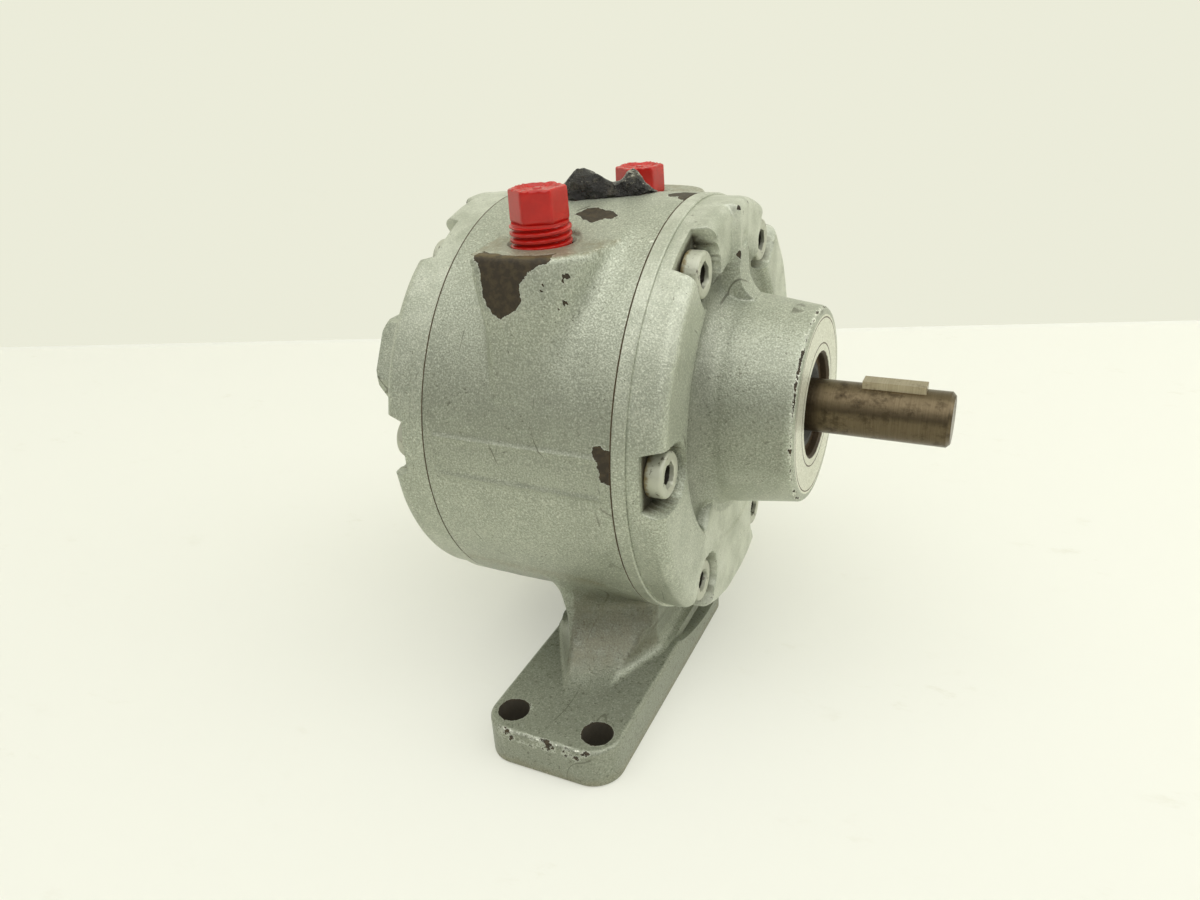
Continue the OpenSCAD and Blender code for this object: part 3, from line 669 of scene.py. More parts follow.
@dataclass(frozen=True)
class MouldedSolid:
    """A moulded or pressed solid: one body colour, a mottle, scuffs and a skin of fine grain."""

    name: str
    body: Colour
    deep: Colour
    scuff: Colour
    scuffed: float
    rough: float
    grain: float
    metal: float = 0.0

    def build(self) -> bpy.types.Material:
        """Mixes the body colours by a soft mottle and lays scuffs over them by noise and mark."""
        sheet = FinishSheet(self.name)
        mottle = sheet.noise(6.0, 3.0, 0.55)
        fine = sheet.noise(self.grain, 4.0, 0.62)
        streak = sheet.noise(1.6, 5.0, 0.7, sheet.stretched((1.0, 1.0, 0.35)))
        colour = sheet.mix(sheet.ramp(mottle, 0.35, 0.65), self.body, self.deep)
        level = sheet.plus(streak, sheet.mark("scuff"), 0.35)
        scuffs = sheet.ramp(level, 0.78 - self.scuffed, 0.84 - self.scuffed, 0.0, 0.8)
        colour = sheet.mix(scuffs, colour, self.scuff)
        normal = sheet.bump(fine, 0.06)
        rough = sheet.ramp(scuffs, 0.0, 1.0, self.rough, min(self.rough + 0.3, 1.0))
        return sheet.principled(Base_Color=colour, Roughness=rough, Metallic=self.metal, Normal=normal)


@dataclass(frozen=True)
class BlackFilm:
    """Crumpled black wrapping film, glossy on its folds, with pale flecks of paint and painted highlights
    on the upper folds.
    """

    name: str = "black_film_crumpled"
    black: Colour = (0.008, 0.007, 0.005)
    grey: Colour = (0.060, 0.056, 0.038)
    silver: Colour = (0.430, 0.420, 0.330)

    def build(self) -> bpy.types.Material:
        """Mixes black and grey by noise, with pale flecks that are partly paint and partly painted
        highlights where a fine noise peaks on a fold.
        """
        sheet = FinishSheet(self.name)
        mottle = sheet.noise(3.0, 4.0, 0.6)
        fleck = sheet.noise(1.5, 5.0, 0.72, sheet.stretched((1.0, 1.0, 2.2)))
        fine = sheet.noise(0.8, 4.0, 0.65)
        colour = sheet.mix(sheet.ramp(mottle, 0.48, 0.72), self.black, self.grey)
        # Pale flecks: partly paint, partly painted highlights on the folds' crests and upper side.
        level = sheet.plus(fleck, sheet.mark("silver"), 0.20)
        flecks = sheet.ramp(level, 0.67, 0.74, 0.0, 0.9)
        colour = sheet.mix(flecks, colour, self.silver)
        normal = sheet.bump(sheet.math("ADD", mottle, fine), 0.9)
        rough = sheet.ramp(mottle, 0.35, 0.65, 0.14, 0.34)
        return sheet.principled(Base_Color=colour, Roughness=rough, Normal=normal)


@dataclass(frozen=True)
class StudioPaper:
    """Pale paper of the floor or the wall, faintly scuffed, shown to the camera partly at its own tone."""

    name: str
    tone: Colour
    smudge: Colour
    own_tone: float = 0.0

    def build(self) -> bpy.types.Material:
        """Mixes the tone and faint smudges by a broad noise on a matt shader; rays from the camera, a
        mirror or glass see a share of that colour as it is, and all other rays see the lit paper."""
        sheet = FinishSheet(self.name)
        broad = sheet.noise(60.0, 4.0, 0.6)
        streak = sheet.noise(9.0, 5.0, 0.7, sheet.stretched((0.5, 1.0, 1.0)))
        level = sheet.math("MULTIPLY", sheet.ramp(broad, 0.50, 0.70), sheet.ramp(streak, 0.55, 0.70))
        colour = sheet.mix(sheet.math("MULTIPLY", level, 0.35), self.tone, self.smudge)
        material = sheet.principled(Base_Color=colour, Roughness=0.8, Specular_IOR_Level=0.1)
        glow = sheet.nodes.new("ShaderNodeEmission")
        sheet.feed(glow.inputs["Color"], colour)
        rays = sheet.nodes.new("ShaderNodeLightPath").outputs
        mirrored = sheet.math("MAXIMUM", rays["Is Glossy Ray"], rays["Is Transmission Ray"])
        seen = sheet.math("MAXIMUM", rays["Is Camera Ray"], mirrored)
        choice = sheet.nodes.new("ShaderNodeMixShader")
        sheet.feed(choice.inputs[0], sheet.math("MULTIPLY", seen, self.own_tone))
        sheet.feed(choice.inputs[1], sheet.output.inputs["Surface"].links[0].from_socket)
        sheet.feed(choice.inputs[2], glow.outputs["Emission"])
        sheet.links.new(choice.outputs["Shader"], sheet.output.inputs["Surface"])
        return material


@dataclass
class EndCover:
    """One lobed cast end cover with six screw pockets, an upper rib, a lower pad and a hub or boss."""

    datums: Datums
    end: End
    mouth_r: float
    mouth_in: float
    hub_face_r: float
    hub_root_r: float
    hub_edge_r: float = 2.2
    hub_fillet_r: float = 8.0
    bearing_r: float = 20.05
    chamfer: float = 0.8
    rim_t: float = 4.0
    rim_step: float = 0.8
    rim_bevel: float = 0.35
    seam: float = 0.3
    cover_t: float = 14.0
    edge_r: float = 3.5
    dish_t: float = 10.5
    dish_r: float = 43.0
    dish_draft: float = 2.0
    seat_t: float = SCREW_SEAT_T
    pocket_half_w: float = 8.5
    screw_circle_r: float = SCREW_CIRCLE_R
    screw_turn: float = SCREW_TURN
    rib_t: float = 16.0
    rib_half_w: float = 4.2
    rib_fillet_r: float = 10.0
    rib_end_r: float = 2.6
    dimple_y: float = 0.4
    dimple_r: float = 52.0
    dimple_t: float = 0.8
    pad_t: float = 13.6
    pad_r: float = 48.5
    pad_half_angle: float = 43.0
    columns: int = 600
    wall_rows: int = 10

    @property
    def hub_len(self) -> float:
        """Height of the hub's or boss's face over the joint face."""
        tip = self.datums.hub_x if self.end is End.DRIVE else self.datums.boss_x
        return abs(tip - self.datums.face_x(self.end))

    @property
    def wall_r(self) -> float:
        """Radius of the cover's wall over its rim."""
        return self.datums.body_r - self.rim_step

    def front_section(self) -> Grid:
        """The turned section of the front face as radius and height, from the mouth out to the wall:
        hub face, edge round, tapered side, root fillet, dish, rise, lobe and outer edge round."""
        top = self.hub_len
        hub_r, edge, fillet = self.hub_face_r, self.hub_edge_r, self.hub_fillet_r
        dish_in, dish_out = self.dish_r - self.dish_draft, self.dish_r + self.dish_draft
        rise = np.linspace(0.0, 1.0, 14)
        return np.concatenate([
            line((self.mouth_r + self.chamfer, top), (hub_r - edge, top), 36)[:-1],
            arc((hub_r - edge, top - edge), edge, 90.0, 5.0, 9)[:-1],
            line((hub_r, top - edge), (self.hub_root_r, self.dish_t + fillet), 26)[:-1],
            arc((self.hub_root_r + fillet, self.dish_t + fillet), fillet, 180.0, 270.0, 18)[:-1],
            line((self.hub_root_r + fillet, self.dish_t), (dish_in, self.dish_t), 4)[:-1],
            np.stack([
                dish_in + (dish_out - dish_in) * rise,
                self.dish_t + (self.cover_t - self.dish_t) * smooth(0.0, 1.0, rise),
            ], axis=-1)[:-1],
            line((dish_out, self.cover_t), (self.wall_r - self.edge_r, self.cover_t), 30)[:-1],
            arc((self.wall_r - self.edge_r, self.cover_t - self.edge_r), self.edge_r, 90.0, 0.0, 12),
        ])

    def column_angles(self, radius: Grid) -> Grid:
        """Angles of the columns for each row: near a pocket they bend to run beside its straight sides.

        Args:
            radius: Radius of each row.

        Returns:
            Angles in radians, rows by columns.
        """
        first = math.radians(self.screw_turn)
        turn = around(self.columns) + first
        nearest = np.round((turn - first) / SIXTH) * SIXTH + first
        off = turn - nearest
        beside = self.wall_r * np.sin(off)
        straight = np.arcsin(np.clip(beside / radius[:, None], -0.9, 0.9))
        share = fade(0.19, 0.42, np.abs(off)) * smooth(43.0, 50.0, radius)[:, None]
        return nearest + off * (1.0 - share) + straight * share

    def centre_z(self, radius: Grid) -> Grid:
        """Height of each row's centre: the shaft's axis inside the dish, the bore's axis at the wall."""
        inner, outer = self.dish_r + self.dish_draft, self.wall_r - self.edge_r
        share = np.clip((radius - inner) / (outer - inner), 0.0, 1.0)
        return self.datums.shaft_z + (self.datums.bore_z - self.datums.shaft_z) * share

    def pocket_share(self, y: Grid, z: Grid) -> Grid:
        """1 inside the nearest screw pocket and 0 outside: a slot of constant width, round at its inner
        end and open to the wall, with a soft edge."""
        up = z - self.datums.bore_z
        turn = np.arctan2(up, y) - math.radians(self.screw_turn)
        off = turn - np.round(turn / SIXTH) * SIXTH
        reach = np.hypot(y, up)
        along, beside = reach * np.cos(off), reach * np.sin(off)
        inner = np.hypot(np.minimum(along - self.screw_circle_r, 0.0), beside)
        return fade(self.pocket_half_w - 0.35, self.pocket_half_w + 0.45, inner)

    def face_heights(self, height: Grid, y: Grid, z: Grid) -> Grid:
        """Heights of the front face with the upper rib, the lower pad and the pockets blended in.

        Args:
            height: Heights of the turned section.
            y: Places across the cover.
            z: Places up the cover.

        Returns:
            The finished heights.
        """
        up = z - self.datums.shaft_z
        reach = np.hypot(y, up)
        outer = np.hypot(y, z - self.datums.bore_z)
        near_hub = np.clip(self.hub_face_r + 1.0 + self.rib_fillet_r - reach, 0.0, self.rib_fillet_r)
        rib_top = self.rib_t + self.rib_fillet_r - np.sqrt(self.rib_fillet_r**2 - near_hub**2)
        near_wall = np.clip(outer - (self.wall_r - self.rib_end_r), 0.0, self.rib_end_r)
        rib_top = rib_top - (self.rib_end_r - np.sqrt(self.rib_end_r**2 - near_wall**2))
        spread = np.abs(y) - self.rib_half_w - 0.22 * np.clip(self.rib_t - height, 0.0, 6.0)
        rib = fade(-0.8, 0.8, spread) * smooth(0.0, 4.0, up)
        dimple = np.hypot(y - self.dimple_y, outer - self.dimple_r)
        rib_top = rib_top - self.dimple_t * fade(1.6, 3.0, dimple)
        height = height + np.maximum(rib_top - height, 0.0) * rib

        from_low = np.abs(np.arctan2(y, -up)) - math.radians(self.pad_half_angle)
        pad = fade(-0.9, 0.9, from_low * reach) * fade(self.pad_r - 1.0, self.pad_r + 1.4, reach)
        height = height + np.maximum(self.pad_t - height, 0.0) * pad

        pocket = self.pocket_share(y, z) * (reach > self.hub_root_r + 3.0)
        return height + np.minimum(self.seat_t - height, 0.0) * pocket

    def build(self, finish: bpy.types.Material) -> bpy.types.Object:
        """Carries the section round the axis as one closed grid and marks wear, grime, bare steel, painted
        shade and painted light.

        Args:
            finish: The casting paint.

        Returns:
            The cover.
        """
        top, seam = self.hub_len, self.seam
        front = self.front_section()
        inner = np.array([
            (self.bearing_r, 0.0),
            (self.bearing_r, self.mouth_in),
            (self.mouth_r, self.mouth_in),
            (self.mouth_r, top - self.chamfer),
        ])
        rim_r = self.datums.body_r
        rim = np.array([
            (self.wall_r, self.rim_t),
            (rim_r - self.rim_bevel, self.rim_t),
            (rim_r, self.rim_t - self.rim_bevel),
            (rim_r, self.rim_t * 0.5),
            (rim_r, seam),
            (rim_r - seam, 0.0),
        ])
        wall_share = np.linspace(1.0, 0.0, self.wall_rows + 2)[1:-1]
        wall = np.full((self.wall_rows, 2), (self.wall_r, self.rim_t))
        rows = np.concatenate([inner, front, wall, rim])
        radius, height = rows[:, 0], np.repeat(rows[:, 1:2], self.columns, axis=1)
        turn = self.column_angles(radius)
        y = radius[:, None] * np.cos(turn)
        z = self.centre_z(radius)[:, None] + radius[:, None] * np.sin(turn)
        first, last = len(inner), len(inner) + len(front)
        face = slice(first, last)
        height[face] = self.face_heights(height[face], y[face], z[face])
        cast = smooth(top - 1.0, top - 4.0, height[face])
        spot = xyz(height[face], y[face], z[face])
        height[face] += cast * (0.16 * lattice_noise(spot, 9.0, 3) + 0.07 * lattice_noise(spot, 3.5, 5))
        edge = height[last - 1]
        height[last:last + self.wall_rows] = self.rim_t + (edge - self.rim_t) * wall_share[:, None]
        x = self.datums.face_x(self.end) + self.end.side * height
        skin = Skin.of(xyz(x, y, z), closed_rows=True, **self.marks(radius, height, y, z))
        name = f"{self.end.value}_end_cover_casting"
        return place_piece(name, skin.mesh(name), finish, (f"{self.end.value}_end_cover",))

    def marks(self, radius: Grid, height: Grid, y: Grid, z: Grid) -> dict[str, Grid]:
        """Where the cover is worn, bare, rusty or grimy, and where shade and light are painted on.

        Args:
            radius: Radius of each row.
            height: Height of each point.
            y: Places across the cover.
            z: Places up the cover.

        Returns:
            Values from 0 to 1 by mark.
        """
        reach = np.hypot(y, z - self.datums.shaft_z)
        outer = np.hypot(y, z - self.datums.bore_z)
        top = self.hub_len
        hub_edge = hump(reach, self.hub_face_r - 0.6, 1.1) * smooth(top - 4.0, top - 0.6, height)
        lobe_edge = hump(outer, self.wall_r - 1.0, 1.0) * smooth(8.5, 11.0, height)
        dish_edge = hump(reach, self.dish_r + 2.0, 1.0) * smooth(12.5, 13.6, height)
        rib_edge = hump(np.abs(y), self.rib_half_w, 0.7) * smooth(14.6, 15.6, height)
        rib_edge = rib_edge * (z > self.datums.shaft_z) * (reach > 40.0)
        floor = self.pocket_share(y, z) * (outer > 44.0) * fade(self.wall_r - 3.0, self.wall_r - 1.0, outer)
        # Painted shade on the pocket floors under the screw heads.
        pocket_floor_shade = floor * fade(self.seat_t + 0.5, self.seat_t + 2.0, height) * smooth(49.0, 53.0, outer)
        face = smooth(top - 0.25, top - 0.05, height)
        ring = face * fade(self.hub_face_r - 3.4, self.hub_face_r - 1.8, reach)
        mouth = fade(self.mouth_r + 0.2, self.mouth_r + 1.4, reach)
        grooves = hump(reach, self.hub_face_r - 3.4, 0.30) + hump(reach, self.mouth_r + 3.0, 0.35)
        # Painted shade falls on the hub's side facing -Y and in the dish; painted light falls on the outer
        # lobes, the lower pad and the hub's underside.
        facing = np.clip(-y / np.maximum(reach, 1.0), 0.0, 1.0) ** 2
        hub_high = smooth(62.0, 84.0, z)
        hub_side = smooth(top - 0.6, top - 3.0, height)
        hub_under = (1.0 - hub_high) * fade(self.hub_root_r - 0.5, self.hub_root_r + 1.0, reach) * hub_side
        inner = fade(42.0, 47.0, reach)
        dish = smooth(self.hub_root_r + 2.0, self.hub_root_r + 6.0, reach) * (height < self.dish_t + 2.2)
        root = smooth(self.hub_root_r - 1.0, self.hub_root_r + 2.5, reach) * inner
        # Painted shade round the hub's root on the -Y side, near-black.
        dusk = 0.27 * root * smooth(0.0, 12.0, -y) * smooth(56.0, 72.0, z)
        from_low = np.abs(np.arctan2(y, self.datums.shaft_z - z))
        low_pad = (from_low < math.radians(self.pad_half_angle)) * (reach > 36.0)
        joint = fade(0.0, 0.45, height) * (radius > self.bearing_r + 5.0)[:, None]
        return {
            "wear": np.clip(0.45 * hub_edge + 0.22 * lobe_edge + 0.18 * dish_edge + 0.42 * rib_edge, 0, 1),
            "chip": np.clip(0.50 * hub_edge + 0.40 * rib_edge + 0.38 * lobe_edge + 0.38 * dish_edge, 0, 1),
            "grime": 0.8 * floor * fade(self.seat_t + 0.6, self.seat_t + 2.4, height),
            "bare": ring if self.end is End.DRIVE else np.zeros_like(ring),
            # The marks below carry painted shade on the dish, hub side, hub root and pockets, and painted
            # light on the lobes, pad and hub underside.
            "sand": np.maximum(0.80 * facing * hub_high * hub_side, 0.8 * dish) * inner,
            "fresh": np.maximum(smooth(44.0, 50.0, reach) * (1.0 - facing), low_pad) + 0.6 * hub_under,
            "soot": np.maximum(0.85 * pocket_floor_shade, dusk),
            "rust": np.maximum(mouth * smooth(top - 12.0, top - 6.0, height), joint) + 0.8 * grooves * face,
        }


@dataclass
class BodyCasting:
    """The bored body with its two leaning port bosses, the waisted pedestal and the drilled foot."""

    datums: Datums
    bore_r: float = 47.5
    seam: float = 0.3
    face_h: float = 57.8
    seat_r: float = 10.5
    boss_half_y: float = 18.5
    boss_rear_x: float = 14.8
    boss_front_x: float = 20.4
    boss_rear_power: float = 8.0
    boss_front_power: float = 2.7
    boss_mean_r: float = 16.0
    boss_top_r: float = 1.2
    boss_toe: float = 0.42
    boss_drop: float = 37.0
    boss_blend: float = 5.0
    lean: float = 22.0
    port_r: float = 8.55
    plaque_low: float = -2.2
    plaque_high: float = 9.3
    plaque_rear: float = -38.6
    plaque_front: float = 13.2
    foot_t: float = 12.7
    foot_far: float = 15.0
    foot_corner_r: float = 9.0
    foot_edge_r: float = 1.3
    hole_r: float = 4.25
    hole_x: float = 13.5
    hole_y: float = 77.8
    relief_r: float = 76.0
    relief_end_x: float = 32.0
    flank_r: float = 20.0
    flank_z: float = 32.7
    flank_y: float = 68.0
    touch_z: float = 44.4
    far_toe_y: float = 10.0
    far_top_y: float = 8.5
    far_flank_r: float = 3.03
    far_touch_z: float = 18.7
    middle_x: float = 2.0
    middle_y: float = -20.0
    pedestal_top_z: float = 54.0
    pedestal_half_x: float = 16.0
    pedestal_half_y: float = 44.0
    pedestal_far: float = 110.0
    waist_z: float = 24.0
    waist_back: float = 11.0
    waist_r: float = 14.0
    waist_low_r: float = 9.6
    toe_half_w: float = 2.2
    ridge_x: float = -1.5
    ridge_lean: float = 2.0
    ridge_front_fall: float = 0.48
    ridge_rear_fall: float = 1.7
    ridge_round: float = 1.2
    shoulder_slack: float = 26.0
    shoulder_y: float = 48.0
    front_shoulder_y: float = 36.0
    flare_r: float = 4.5
    columns: int = 460
    rows: int = 104
    pedestal_columns: int = 240
    corner_columns: int = 20
    side_columns: int = 50

    def shell_radius(self, x: Grid, turn: Grid) -> Grid:
        """Distance from the bore's axis to the outside, found by halving along each ray.

        The solid is a cylinder softly joined to two bosses, whose level sections are rounded squares,
        fuller on the dead-end side, that shrink and move outwards as they go down, less the flat seats
        round the ports.

        Args:
            x: Places along the axis.
            turn: Angles round the axis.

        Returns:
            The radius for each place and angle.
        """
        low = np.full(x.shape, self.datums.body_r - 8.0)
        high = np.full(x.shape, self.datums.body_r + 18.0)

        def inside(reach: Grid) -> Grid:
            """Whether a reach along each ray lies in the outer form."""
            return self.shell_distance(x, reach * np.cos(turn), reach * np.sin(turn)) < 0.0

        return leaving_reach(inside, low, high, 26)

    def shell_distance(self, x: Grid, y: Grid, up: Grid) -> Grid:
        """Negative inside the bored body's outer form, about a millimetre for each millimetre."""
        down = np.clip((self.face_h - up) / self.boss_drop, -0.3, 1.15)
        centre_y = self.datums.port_y + (self.face_h - up) * math.tan(math.radians(self.lean))
        size = 1.0 - (1.0 - self.boss_toe) * np.abs(down) ** 1.6
        along, across = x - self.datums.port_x, np.abs(y) - centre_y
        rear = self.boss_rear_x * np.clip(1.0 - 0.8 * np.abs(down) ** 0.8, 0.12, None)
        half_x = np.where(along < 0.0, rear, self.boss_front_x * size)
        power = np.where(along < 0.0, self.boss_rear_power, self.boss_front_power)
        square = np.abs(along / half_x) ** power + np.abs(across / (self.boss_half_y * size)) ** power
        boss = (square ** (1.0 / power) - 1.0) * self.boss_mean_r * size
        boss = soft_max(boss + 14.0 * smooth(1.0, 1.15, down), up - self.face_h, self.boss_top_r)
        solid = soft_min(np.hypot(y, up) - self.datums.body_r, boss, self.boss_blend)
        port = np.hypot(x - self.datums.port_x, np.abs(y) - self.datums.port_y)
        cut = np.minimum(up - self.face_h, self.seat_r - port)
        return soft_max(solid, cut, 0.9)

    def shell(self) -> Skin:
        """The body as one closed grid: outside rows along the axis, then the bore back again."""
        front, rear = self.datums.front_x, self.datums.rear_x
        even = around(2048)
        bosses = hump(even, 2.2, 0.42) + hump(even, 0.95, 0.42)
        plaque = hump(even, np.pi, 0.16)
        weight = np.cumsum(1.0 + 1.3 * bosses + 1.6 * plaque)
        turn = np.interp(np.linspace(0.0, weight[-1], self.columns, endpoint=False), weight, even)
        x = np.linspace(rear, front, self.rows)
        x = np.concatenate([[rear, rear + self.seam], x[1:-1], [front - self.seam, front]])
        grid_x, grid_turn = np.meshgrid(x, turn, indexing="ij")
        radius = self.shell_radius(grid_x, grid_turn)
        radius = radius + self.plaque_relief(grid_x, radius * np.cos(grid_turn), radius * np.sin(grid_turn))
        spot = turned(grid_x, radius, grid_turn, 0.0)
        middle = smooth(0.5, 4.0, np.minimum(grid_x - rear, front - grid_x))
        grain = 0.14 * lattice_noise(spot, 10.0, 11) + 0.07 * lattice_noise(spot, 3.5, 7)
        radius = radius + middle * grain
        radius[0] -= self.seam
        radius[-1] -= self.seam
        along = np.concatenate([x, [front, rear]])[:, None]
        radius = np.concatenate([radius, np.full((2, self.columns), self.bore_r)])
        return Skin.of(turned(along, radius, turn, self.datums.bore_z), closed_rows=True)

    def plaque_relief(self, x: Grid, y: Grid, up: Grid) -> Grid:
        """Height of the bare plaque on the near side: a low field inside a thin raised border."""
        inside = np.minimum(
            np.minimum(x - self.plaque_rear, self.plaque_front - x),
            np.minimum(up - self.plaque_low, self.plaque_high - up),
        )
        border = 0.60 * hump(inside, 0.2, 0.65)
        return np.where(y < 0.0, border + 0.10 * smooth(0.0, 1.5, inside), 0.0)

    def pedestal(self) -> Skin:
        """The pedestal as level sections stacked up: each is cut by the rear hollow, the front face,
        the round flanks and the tapering toe, with soft corners, and found along rays."""
        level = np.concatenate([
            [self.foot_t - 3.0],
            self.foot_t + 0.02 + self.flare_r * (1.0 - np.cos(np.linspace(0.0, 1.2, 12))),
            np.linspace(self.foot_t + 3.4, self.pedestal_top_z, 50),
        ])
        swing = around(self.pedestal_columns)
        turn = np.arctan2(self.pedestal_half_y * np.sin(swing), self.pedestal_half_x * np.cos(swing))
        z, grid_turn = np.meshgrid(level, turn, indexing="ij")

        def places(reach: Grid) -> Grid:
            """The points at a reach along each ray from the pedestal's middle."""
            x, y = self.middle_x + reach * np.cos(grid_turn), self.middle_y + reach * np.sin(grid_turn)
            return xyz(x, y, z)

        def inside(reach: Grid) -> Grid:
            """Whether a reach along each ray lies in the pedestal."""
            return self.pedestal_distance(*np.moveaxis(places(reach), -1, 0)) < 0.0

        reach = leaving_reach(inside, np.zeros(z.shape), np.full(z.shape, self.pedestal_far), 28)
        spot = places(reach)
        grain = 0.20 * lattice_noise(spot, 6.0, 21) + 0.10 * lattice_noise(spot, 2.6, 23)
        grid = places(reach + grain * smooth(self.foot_t, self.foot_t + 3.0, z))
        middle = places(np.zeros(z.shape))
        return Skin.of(np.concatenate([middle[:1], grid, middle[-1:]]))

    def pedestal_distance(self, x: Grid, y: Grid, z: Grid) -> Grid:
        """Negative inside the pedestal at a level, as the softened greatest of its bounds; the near
        flank falls away on both sides of a leaning ridge that ends in the toe."""
        low = np.clip(self.flare_r - (z - self.foot_t), 0.0, self.flare_r)
        flare = self.flare_r - np.sqrt(self.flare_r**2 - low**2)
        dip = np.clip(self.flank_r**2 - (z - self.flank_z) ** 2, 0.0, None)
        flank = self.flank_y - np.sqrt(dip)
        body = np.sqrt(np.clip(self.datums.body_r**2 - (self.datums.bore_z - z) ** 2, 1.0, None))
        sunk = body - 0.2 - 0.5 * (z - self.touch_z)
        flank = np.where(z > self.touch_z, sunk, flank)
        off = x - self.ridge_x + self.ridge_lean * np.sqrt(np.clip(z - self.foot_t, 0.0, None))
        fall = np.where(off > 0.0, self.ridge_front_fall, self.ridge_rear_fall)
        fall = fall * (np.sqrt(off**2 + self.ridge_round) - math.sqrt(self.ridge_round))
        flank = flank - fall * fade(29.0, 43.0, z)
        hollow_r = np.where(z > self.waist_z, self.waist_r, self.waist_low_r)
        rise = np.clip((z - self.waist_z) / hollow_r, -1.0, 1.0)
        back = -self.waist_back - hollow_r * (1.0 - np.sqrt(1.0 - rise**2))
        slack = self.shoulder_slack * smooth(self.waist_z - 3.0, self.waist_z + 10.0, z)
        run = self.flank_y - self.shoulder_y
        across = np.clip((-y - self.shoulder_y) / run, -3.0, 1.6)
        front = self.datums.front_x
        rear_in = self.waist_back + 2.0
        rear_edge = -rear_in + (rear_in - self.toe_half_w) * across - slack - 0.5 * flare
        ahead = np.clip((-y - self.front_shoulder_y) / (self.flank_y - self.front_shoulder_y), 0.0, 1.6)
        front_edge = front - (front - self.toe_half_w) * ahead + slack + 0.8 * flare
        far_dip = np.clip(self.far_flank_r**2 - (z - self.foot_t - self.far_flank_r) ** 2, 0.0, None)
        far = np.where(z > self.far_touch_z, self.far_top_y, self.far_toe_y - np.sqrt(far_dip))
        bounds = soft_max(back - x, -y - flank, 3.0)
        bounds = soft_max(bounds, y - far, 1.0)
        bounds = soft_max(bounds, rear_edge - x, 1.6)
        bounds = soft_max(bounds, x - front_edge, 1.6)
        return soft_max(bounds, x - front - np.minimum(flare, 3.0), 2.5)

    def foot(self) -> Skin:
        """The foot as a rounded rectangle carried up and in: chamfer, wall, edge round and top."""
        arc_in = self.foot_edge_r * (1.0 - np.cos(np.linspace(0.0, np.pi / 2.0, 8)))
        arc_up = self.foot_t - self.foot_edge_r * (1.0 - np.sin(np.linspace(0.0, np.pi / 2.0, 8)))
        half_w = self.datums.foot_half_w
        half_len = (self.datums.foot_near + self.foot_far) / 2.0
        inset = np.concatenate([
            [half_w, 8.0, 0.5, 0.0, 0.0, 0.0, 0.0], arc_in, [3.0, 6.0, 10.0, 15.0, half_w],
        ])
        level = np.concatenate([[0.0, 0.0, 0.0, 0.5, 4.0, 7.0, 9.5], arc_up, [self.foot_t] * 5])
        corner = np.radians(np.linspace(0.0, 90.0, self.corner_columns))
        quarter = np.stack([np.cos(corner), np.sin(corner)], axis=-1)
        spread = np.linspace(0.0, 1.0, self.side_columns, endpoint=False)[:, None]
        signs = np.array([(1.0, 1.0), (-1.0, 1.0), (-1.0, -1.0), (1.0, -1.0)])
        rounds, centres = [], []
        for index, sign in enumerate(signs):
            ordered = quarter if index % 2 == 0 else quarter[::-1]
            rounds.append(ordered * sign)
            centres.append(np.repeat(sign[None, :], self.corner_columns, axis=0))
            following = signs[(index + 1) % 4]
            rounds.append(np.repeat(rounds[-1][-1:], self.side_columns, axis=0))
            centres.append(sign + (following - sign) * spread)
        rounds, centres = np.concatenate(rounds), np.concatenate(centres)
        core = np.array([half_w - self.foot_corner_r, half_len - self.foot_corner_r])
        radius = self.foot_corner_r - inset[:, None, None]
        inner = np.minimum(radius, 0.0)
        plan = centres[None] * (core[None, None] + inner) + rounds[None] * np.maximum(radius, 0.0)
        plan = plan + np.array([0.0, self.foot_far - half_len])
        x, y, z = plan[..., 0], plan[..., 1], level[:, None]
        grain = 0.12 * lattice_noise(xyz(x, y, z), 5.0, 31) * smooth(0.5, 3.0, z)
        swell = 1.0 + grain / 60.0
        return Skin.of(xyz(x * swell, y * swell, z))

    def cutters(self) -> Skin:
        """The two foot holes with worn mouths, and the relief under the drive end cover."""
        skin = Skin()
        level = np.array([-2.0, -2.0, self.foot_t - 0.6, self.foot_t + 0.5, self.foot_t + 0.5])
        radius = np.array([0.0, self.hole_r, self.hole_r, self.hole_r + 0.7, 0.0])
        for side in (-1.0, 1.0):
            skin.add(upright((side * self.hole_x, -self.hole_y), radius, level, 48))
        along = np.repeat([self.datums.front_x, self.relief_end_x], 2) + 0.02
        radius = np.array([0.0, self.relief_r, self.relief_r, 0.0])
        skin.add(turned(along[:, None], radius[:, None], around(360), self.datums.bore_z))
        return skin

    def bore_core(self) -> Skin:
        """A round core that keeps the pedestal out of the bore, half-way into the body's wall."""
        rear, front = self.datums.rear_x - 3.0, self.datums.front_x + 3.0
        along = np.repeat([rear, front], 2)
        radius = np.array([0.0, 1.0, 1.0, 0.0]) * (self.bore_r + self.datums.body_r) / 2.0
        return Skin.of(turned(along[:, None], radius[:, None], around(180), self.datums.bore_z))

    def ports(self) -> Skin:
        """The two port holes down from the spot faces into the body's wall."""
        top = self.datums.bore_z + self.face_h
        level = np.array([top - 16.0, top - 16.0, top - 1.2, top + 6.0, top + 6.0])
        radius = np.array([0.0, self.port_r, self.port_r, self.port_r + 7.2, 0.0])
        skin = Skin()
        for side in (-1.0, 1.0):
            skin.add(upright((self.datums.port_x, side * self.datums.port_y), radius, level, 96))
        return skin

